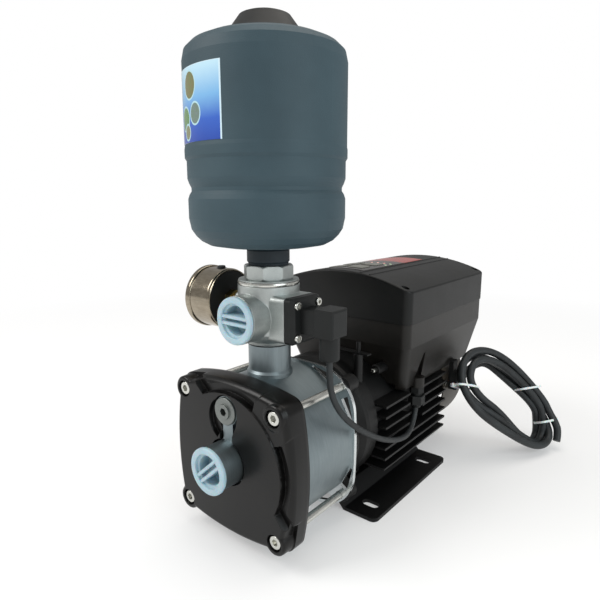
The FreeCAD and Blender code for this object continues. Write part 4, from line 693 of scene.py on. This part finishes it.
# Hidden in the motor: a stator of steel sheets with copper winding heads, the rotor on the
# shaft and a steel bearing at each end.
def copper_finish():
    """Enamelled copper wire, wound in a bundle."""
    material, shader, places = start_finish("enamelled_copper", Metallic=0.8)
    strands = noise(stretched(places, 1200, 80, 1200), 1.0, 2.0)
    between(strands, shade(120, 66, 34), shade(205, 130, 80)).feed(shader, "Base Color")
    (0.25 + 0.2 * strands).feed(shader, "Roughness")
    bump(shader, strands, 0.0004, 0.8)
    return material


stator_steel = sheet_steel_finish("laminations", shade(95, 95, 96), shade(130, 130, 132),
                                  (60, 2000, 60), 0.4)
rotor_steel = sheet_steel_finish("rotor_sheets", shade(105, 105, 106), shade(140, 140, 142),
                                 (60, 2000, 60), 0.35)
smooth_node("winding_heads", copper_finish())
smooth_node("stator_core", stator_steel)
smooth_node("rotor_core", rotor_steel)
smooth_node("bearings", bright_steel)


# The fan is moulded in black nylon and turns with the shaft. A pressed steel cowl, painted
# brown-black and held by bright screws, covers it.
cowl_paint = casting_finish("cowl_paint", shade(58, 53, 46), shade(76, 70, 61), 0.0001, 0.34, 0.0006)
moulded_black = casting_finish("moulded_black", shade(17, 19, 19), shade(26, 28, 28), 0.00008, 0.38, 0.0006)
smooth_node("fan_cover", cowl_paint)
smooth_node("cover_screws", bright_steel)
smooth_node("fan", moulded_black)


# The foot is folded steel plate with four slots, powder coated black. Bright screws from
# below hold it to the motor.
foot_coat = casting_finish("foot_coat", shade(4, 4, 5), shade(9, 9, 10), 0.0001, 0.42, 0.0008)
smooth_node("foot_plate", foot_coat)
smooth_node("foot_screws", bright_steel)


# The drive's housing is cast in two halves and painted satin black. The upper half is a
# crowned lid, held to the base by six black screws.
# Both halves have the same satin black paint. The base's paler brown tone is a painted warm reflection, and
# the lid's faint blue-green is a painted cool reflection.
base_black_warm_reflection = casting_finish("drive_base_black_warm_reflection", shade(18, 17, 15), shade(28, 26, 23), 0.00012, 0.30, 0.0010)
lid_black_cool_reflection = casting_finish("drive_lid_black_cool_reflection", shade(8, 10, 10), shade(15, 16, 15), 0.00012, 0.34, 0.0010)
smooth_node("drive_base", base_black_warm_reflection)
smooth_node("drive_lid", lid_black_cool_reflection)
smooth_node("lid_screws", moulded_black)


# The display panel is a glossy printed sheet let into the lid, dark with a red field at the
# rear. Four grey keys press through it over a circuit board, and small lights stand between
# the keys and the red field. Sizes and places of the lights are in millimetres.
lid_crest = 252.7
lid_radius = 230
light_outline = [(0, -0.2), (1.6, -0.2), (1.6, 0.2), (1.2, 0.35), (0, 0.4)]
red_light_places = [(-11, 60), (-2, 60), (7, 60)]
green_light_places = [(16, 60), (16, 48)]


def part_of(places, axis):
    """One coordinate of the places: 0 for X, 1 for Y, 2 for Z."""
    return places.node("SeparateXYZ", {}, {0: places}, axis)


def panel_finish():
    """Glossy dark overlay, red towards the rear."""
    material, shader, places = start_finish("panel_gloss", Roughness=0.20, Specular_IOR_Level=0.3)
    red = span(part_of(places, 1), 0.080, 0.090)
    between(red, shade(30, 22, 19), shade(150, 45, 35)).feed(shader, "Base Color")
    bump(shader, noise(places, 60.0), 0.0002, 0.15)
    return material


def board_finish():
    """Green solder mask over copper tracks."""
    material, shader, places = start_finish("circuit_board", Roughness=0.35)
    cells = {"Vector": places, "Scale": 300.0}
    tracks = places.node("TexVoronoi", {"feature": "DISTANCE_TO_EDGE"}, cells)
    between(tracks < 0.06, shade(20, 84, 48), shade(60, 130, 70)).feed(shader, "Base Color")
    bump(shader, tracks, 0.0001)
    return material


def painted_glow_finish(name, tint):
    """Window of a signal light with a painted glow, and paler clouds in it."""
    material, shader, places = start_finish(name, Roughness=0.2, Emission_Strength=0.35)
    colour = between(noise(places, 600.0), tint, shade(255, 240, 225))
    colour.feed(shader, "Base Color")
    colour.feed(shader, "Emission Color")
    return material


def turned(bm, profile, place, closed=False, around=72):
    """Adds a turned solid to a bmesh: (radius, distance) points in millimetres round local Z."""
    rings = []
    for r, h in profile:
        if r == 0:
            rings.append([bm.verts.new(place @ Vector((0, 0, h / 1000)))] * around)
        else:
            turns = [2 * math.pi * k / around for k in range(around)]
            ring = [Vector((r * math.cos(a), r * math.sin(a), h)) / 1000 for a in turns]
            rings.append([bm.verts.new(place @ corner) for corner in ring])
    for first, second in zip(rings, rings[1:] + (rings[:1] if closed else [])):
        bridge(bm, first, second)
    bmesh.ops.recalc_face_normals(bm, faces=bm.faces)


def panel_lights(name, places, finish):
    """Row of low round lights on the crowned panel."""
    bm = bmesh.new()
    for x, y in places:
        top = lid_crest - x * x / (2 * lid_radius)
        turned(bm, light_outline, facing((x / 1000, y / 1000, top / 1000), (1, 0, 0), (0, 0, 1)))
    mesh_piece(name, bm, finish)


key_finish = casting_finish("key_plastic", shade(96, 96, 92), shade(118, 118, 112), 0.00006, 0.35, 0.0005)
for name in ("key_1", "key_2", "key_3", "key_4"):
    smooth_node(name, key_finish)
smooth_node("display_panel", panel_finish())
smooth_node("keypad_board", board_finish())
# The signal lights' windows carry a painted glow.
panel_lights("panel_red_lights", red_light_places, painted_glow_finish("red_light", shade(230, 60, 50)))
panel_lights("panel_green_lights", green_light_places, painted_glow_finish("green_light", shade(120, 210, 120)))


# The cross is an investment casting in stainless steel, bead blasted, and so is the
# eight-sided nipple that carries the tank. The snap ring is bright.
def blasted_finish():
    """Bead-blasted cast stainless steel: even grey with a sandy sparkle."""
    material, shader, places = start_finish("blasted_casting", Metallic=1.0)
    grain = noise(places, 1400.0, 3.0, 0.7)
    cloud = noise(places, 40.0, 4.0)
    tone = span(0.5 * grain + 0.5 * cloud, 0.3, 0.7)
    between(tone, shade(156, 161, 160), shade(200, 205, 202)).feed(shader, "Base Color")
    (0.36 + 0.16 * grain).feed(shader, "Roughness")
    bump(shader, grain, 0.0002, 0.7, 0.0015)
    return material


cast_steel = blasted_finish()
smooth_node("valve_body", cast_steel)
smooth_node("snap_ring", bright_steel)
smooth_node("tank_nipple", cast_steel)


# The non-return valve inside the cross, the gauge's socket and the tank's charging valve
# are turned from brass. The valve's spring is wound from steel wire, in millimetres here;
# the real one gets shorter as the cone lifts, but this one is built at one length.
spring_coils = 6
spring_radius = 5.1
wire_radius = 0.55
spring_foot = (0, -146.4, 200.9)
spring_rise = 14.8


def brass_finish():
    """Turned brass with a dull film."""
    material, shader, places = start_finish("turned_brass", Metallic=1.0)
    film = noise(places, 200.0, 4.0)
    between(film, shade(176, 150, 92), shade(215, 192, 130)).feed(shader, "Base Color")
    (0.22 + 0.2 * film).feed(shader, "Roughness")
    bump(shader, noise(stretched(places, 3000, 200, 200), 1.0), 0.00003, 0.5, 0.0004)
    return material


def spring_mesh(per_coil=24, sides=8):
    """Round wire wound in a helix, with flat ends."""
    bm = bmesh.new()
    rings = []
    for k in range(spring_coils * per_coil + 1):
        a = 2 * math.pi * k / per_coil
        out = Vector((math.cos(a), math.sin(a), 0))
        rise = Vector((0, 0, spring_rise * k / (spring_coils * per_coil)))
        middle = Vector(spring_foot) + rise + spring_radius * out
        ring = []
        for j in range(sides):
            t = 2 * math.pi * j / sides
            offset = wire_radius * (out * math.cos(t) + Vector((0, 0, math.sin(t))))
            ring.append(bm.verts.new((middle + offset) / 1000))
        rings.append(ring)
    for first, second in zip(rings, rings[1:]):
        bridge(bm, first, second)
    bm.faces.new(rings[0])
    bm.faces.new(rings[-1])
    bmesh.ops.recalc_face_normals(bm, faces=bm.faces)
    return bm


brass = brass_finish()
for name in ("valve_cage", "valve_cone", "gauge_socket", "air_valve"):
    smooth_node(name, brass)
valve_spring = mesh_piece("valve_spring_wire", spring_mesh(), bright_steel)
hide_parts("valve_spring")
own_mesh(valve_spring)


# The tank is moulded in slate blue plastic with a bead, a waist groove and a domed crown;
# a darker neck joins it to the nipple and a black cap covers its charging valve.
def tank_finish():
    """Slate moulding with a fine stipple, slow shade changes and a few dark specks."""
    material, shader, places = start_finish("tank_plastic", Specular_IOR_Level=0.35)
    stipple = noise(places, 1300.0, 2.0)
    cloud = noise(places, 12.0, 4.0, 0.6)
    speck = span(noise(places, 90.0, 1.0), 0.18, 0.22, 1.0, 0.0)
    body = between(span(cloud, 0.3, 0.7), shade(48, 67, 75), shade(57, 77, 85))
    between(speck, body, shade(32, 42, 49)).feed(shader, "Base Color")
    (0.52 + 0.12 * stipple).feed(shader, "Roughness")
    bump(shader, stipple, 0.00022, 0.6)
    return material


neck_plastic = casting_finish("neck_plastic", shade(28, 36, 41), shade(38, 47, 53), 0.0001, 0.42, 0.0010)
smooth_node("tank_shell", tank_finish(), 75)
smooth_node("tank_neck", neck_plastic)
smooth_node("tank_cap", moulded_black)


# A printed label is stuck on the tank's left front: pale blue above, deep blue below, with
# four ringed ovals on it. Heights are in metres above the floor, and angles in degrees
# round the tank's axis.
label_radius = 0.07425
label_grip = 0.0740
label_low = 0.3796
label_high = 0.4400
label_start = -75.5
label_turn = -76
label_columns = 40
label_lip = 0.0002
tank_y = -0.1464
label_highlight_x = 0.0172
label_edge_z = 0.4394
oval_ring = 0.0012
ovals = [(-0.020, 0.425, 0.010, shade(128, 96, 70)), (-0.012, 0.402, 0.008, shade(120, 128, 150)),
         (-0.030, 0.399, 0.009, shade(92, 140, 84)), (-0.026, 0.388, 0.006, shade(150, 130, 110))]
label_blues = [(0.0, 0.3, shade(52, 96, 190)), (0.3, 0.62, shade(120, 176, 222)),
               (0.62, 1.0, shade(186, 220, 236))]


def label_finish():
    """Glossy print that deepens downwards, with cloudy ovals in pale rings, a pale strip along its top and
    a painted highlight down its right side.
    """
    material, shader, places = start_finish("tank_label", Roughness=0.22, Coat_Weight=0.4)
    x = part_of(places, 0)
    z = part_of(places, 2)
    rise = span(z + 0.004 * noise(places, 60.0), 0.381, 0.440)
    print_colour = shade(38, 72, 164)
    for low, high, tint in label_blues:
        print_colour = between(span(rise, low, high), print_colour, tint)
    for middle_x, middle_z, size, tint in ovals:
        dx = x - middle_x
        dz = z - middle_z
        away = dx.math("SQRT", dx * dx + dz * dz * 0.7)
        fill = between(noise(places, 400.0, 3.0), tint, shade(96, 128, 72))
        print_colour = between(away < size, print_colour, shade(176, 214, 222))
        print_colour = between(away < size - oval_ring, print_colour, fill)
    # A pale strip runs along the top; the pale strip down the right side is a painted highlight.
    edge = (x > label_highlight_x) + (z > label_edge_z)
    between(edge, print_colour, shade(206, 228, 238)).feed(shader, "Base Color")
    bump(shader, noise(places, 500.0), 0.00003, 0.4)
    return material


def label_mesh():
    """Thin sheet bent round the tank, with its edges turned in to the wall."""
    bm = bmesh.new()
    outline = [(label_grip, label_low), (label_radius, label_low + label_lip),
               (label_radius, label_high - label_lip), (label_grip, label_high)]
    columns = []
    for k in range(label_columns + 1):
        a = math.radians(label_start + label_turn * k / label_columns)
        ring = [(r * math.cos(a), tank_y + r * math.sin(a), z) for r, z in outline]
        columns.append([bm.verts.new(place) for place in ring])
    for a, b in zip(columns, columns[1:]):
        for j in range(3):
            bm.faces.new((a[j], a[j + 1], b[j + 1], b[j]))
    bm.faces.new(columns[0])
    bm.faces.new(columns[-1])
    bmesh.ops.recalc_face_normals(bm, faces=bm.faces)
    return bm


mesh_piece("tank_label", label_mesh(), label_finish(), smooth=30)


# The transport plugs are pale blue polythene, slightly clear: a deep cup with a broad flange
# and a split finger bar across it. The outline runs from the floor round the flange and back
# down the cup, as (radius, depth behind the port's face) in millimetres.
plug_outline = [
    (0, 12.9), (14.2, 12.9), (14.8, 12.3), (14.8, -0.1), (21.7, -0.1), (22.2, -0.5), (22.4, -1.1),
    (22.4, -3.1), (22.2, -3.7), (21.7, -4.1), (21.2, -4.2), (17.2, -4.2), (16.8, -4.1), (16.5, -3.8),
    (16.4, -3.2), (16.3, -1.4), (14.1, -0.6), (13.9, 0.4), (13.9, 10.4), (12.9, 11.2), (0, 11.2)]
bar_aside = 3.2
bar_floor = 11.6


def polythene_finish():
    """Milky pale blue polythene."""
    material, shader, places = start_finish("pale_blue_polythene", Subsurface_Weight=0.35,
                                            Subsurface_Scale=0.004, Specular_IOR_Level=0.4)
    cloud = noise(places, 80.0, 3.0)
    between(cloud, shade(150, 178, 190), shade(180, 204, 214)).feed(shader, "Base Color")
    (0.34 + 0.16 * cloud).feed(shader, "Roughness")
    bump(shader, noise(places, 700.0), 0.0001, 0.4, 0.0006)
    return material


def transport_plug(name, place, bar_angle):
    """Cup with two thin bars, joined at their foot by a web."""
    a = math.radians(bar_angle)
    seat = facing(place, (math.cos(a), 0, math.sin(a)), (0, 1, 0))
    bm = bmesh.new()
    turned(bm, plug_outline, seat)
    for middle in (-bar_aside, bar_aside):
        block(bm, seat, (-16.3, middle - 1.6, -3.6), (16.3, middle + 1.6, -0.9), 0.45)
        block(bm, seat, (-14.2, middle - 1.5, -1.2), (14.2, middle + 1.5, bar_floor))
    block(bm, seat, (-14.2, -1.8, 3.5), (14.2, 1.8, bar_floor))
    plug = mesh_piece(name + "_moulding", bm, pale_blue, name)
    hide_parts(name)


pale_blue = polythene_finish()
transport_plug("inlet_plug", (0, -0.228, 0.090), 42)
transport_plug("outlet_plug", (0, -0.1904, 0.223), 0)


# Two bolt ends show bright at the motor's front, each in a round black lug of the housing.
# The outlines are (radius, distance along the motor) in millimetres.
bolt_places = [(0.0535, -0.032, 0.034), (0.0535, -0.032, 0.146)]
bolt_outline = [(0, -6.4), (1.8, -6.4), (2.4, -5.8), (2.4, -1.0), (0, -1.0)]
lug_outline = [(0, -0.9), (5.0, -0.9), (5.8, -0.1), (5.8, 22), (0, 22)]
bolts = bmesh.new()
lugs = bmesh.new()
for place in bolt_places:
    seat = facing(place, (1, 0, 0), (0, 1, 0))
    turned(bolts, bolt_outline, seat)
    turned(lugs, lug_outline, seat)
mesh_piece("housing_bolts", bolts, bright_steel)
mesh_piece("housing_lugs", lugs, motor_paint)


# A black rubber ring seals the outlet pipe's upper end against the cross. Its outline is
# (radius, height) in millimetres.
seal_outline = [(20.6, -1.0), (21.6, -0.9), (21.9, -0.3), (21.9, 0.4), (21.6, 1.0), (20.6, 1.1)]
seal = bmesh.new()
turned(seal, seal_outline, facing((0, -0.1464, 0.1945), (1, 0, 0), (0, 0, 1)), closed=True)
mesh_piece("pipe_seal", seal, sheath)


# The gauge has a polished steel case with a rolled bezel, a white dial behind glass and a
# black hand, and its dial faces away to the left. A black disc with a bright lip closes
# its back, and a rubber stopper sits in its top; their outlines are in millimetres.
gauge_y = -0.1464
gauge_z = 0.231
dial_x = -0.08005
gauge_back_x = -0.054
back_outline = [(8, 0.05), (29.0, 0.05), (29.0, 0.5), (8, 0.5)]
lip_outline = [(29.1, 0.05), (30.6, 0.05), (30.4, 0.8), (29.8, 1.1), (29.2, 0.8)]
stopper_outline = [(0, 33.6), (3.4, 33.6), (4.2, 33.0), (4.2, 31.5), (5.4, 31.2), (5.4, 30.4), (0, 30.4)]
mark_count = 50
mark_sweep = 270
first_mark = 225
long_mark_every = 5
short_mark = ((19.5, -0.15, -0.1), (22.0, 0.15, 0.12))
long_mark = ((17.0, -0.3, -0.1), (22.0, 0.3, 0.12))


def lens_finish():
    """Clear window with faint smears."""
    material, shader, places = start_finish("gauge_window", Transmission_Weight=1.0, IOR=1.45)
    smear = noise(places, 120.0, 3.0)
    (0.02 + 0.05 * smear).feed(shader, "Roughness")
    between(smear, (0.97, 0.98, 0.98, 1), (1, 1, 1, 1)).feed(shader, "Base Color")
    return material


def dial_finish():
    """White enamel dial."""
    material, shader, places = start_finish("dial_enamel", Roughness=0.4)
    between(noise(places, 150.0), shade(226, 226, 220), shade(238, 238, 232)).feed(shader, "Base Color")
    return material


def dial_marks():
    """Short and long marks round the dial, raised a little."""
    bm = bmesh.new()
    for k in range(mark_count + 1):
        a = math.radians(first_mark - mark_sweep * k / mark_count)
        seat = facing((dial_x, gauge_y, gauge_z), (0, -math.cos(a), math.sin(a)), (-1, 0, 0))
        block(bm, seat, *(short_mark if k % long_mark_every else long_mark))
    return bm


# The case, bezel and back lip are polished steel; their tan tone is a painted warm reflection.
case_steel_warm_reflection = sheet_steel_finish("polished_case_warm_reflection", shade(134, 124, 108), shade(172, 163, 146),
                            (120, 400, 400), 0.06, 0.0004)
smooth_node("gauge_case", case_steel_warm_reflection)
smooth_node("gauge_bezel", case_steel_warm_reflection)
smooth_node("gauge_lens", lens_finish())
smooth_node("gauge_dial", dial_finish())
smooth_node("gauge_pointer", moulded_black)
behind = facing((gauge_back_x, gauge_y, gauge_z), (0, 1, 0), (1, 0, 0))
gauge_back = bmesh.new()
turned(gauge_back, back_outline, behind, closed=True)
mesh_piece("gauge_back", gauge_back, moulded_black)
gauge_lip = bmesh.new()
turned(gauge_lip, lip_outline, behind, closed=True)
mesh_piece("gauge_lip", gauge_lip, case_steel_warm_reflection)
gauge_stopper = bmesh.new()
turned(gauge_stopper, stopper_outline, facing((-0.067, gauge_y, gauge_z), (0, 1, 0), (0, 0, 1)))
mesh_piece("gauge_stopper", gauge_stopper, sheath)
mesh_piece("gauge_marks", dial_marks(), sheath)


# The pressure sensor's base, plug and gland are black glass-filled nylon, and so is the
# mains lead's gland. Four bright screws hold the sensor.
for name in ("sensor_flange", "sensor_connector", "sensor_gland", "mains_gland"):
    smooth_node(name, moulded_black)
smooth_node("sensor_screws", bright_steel)
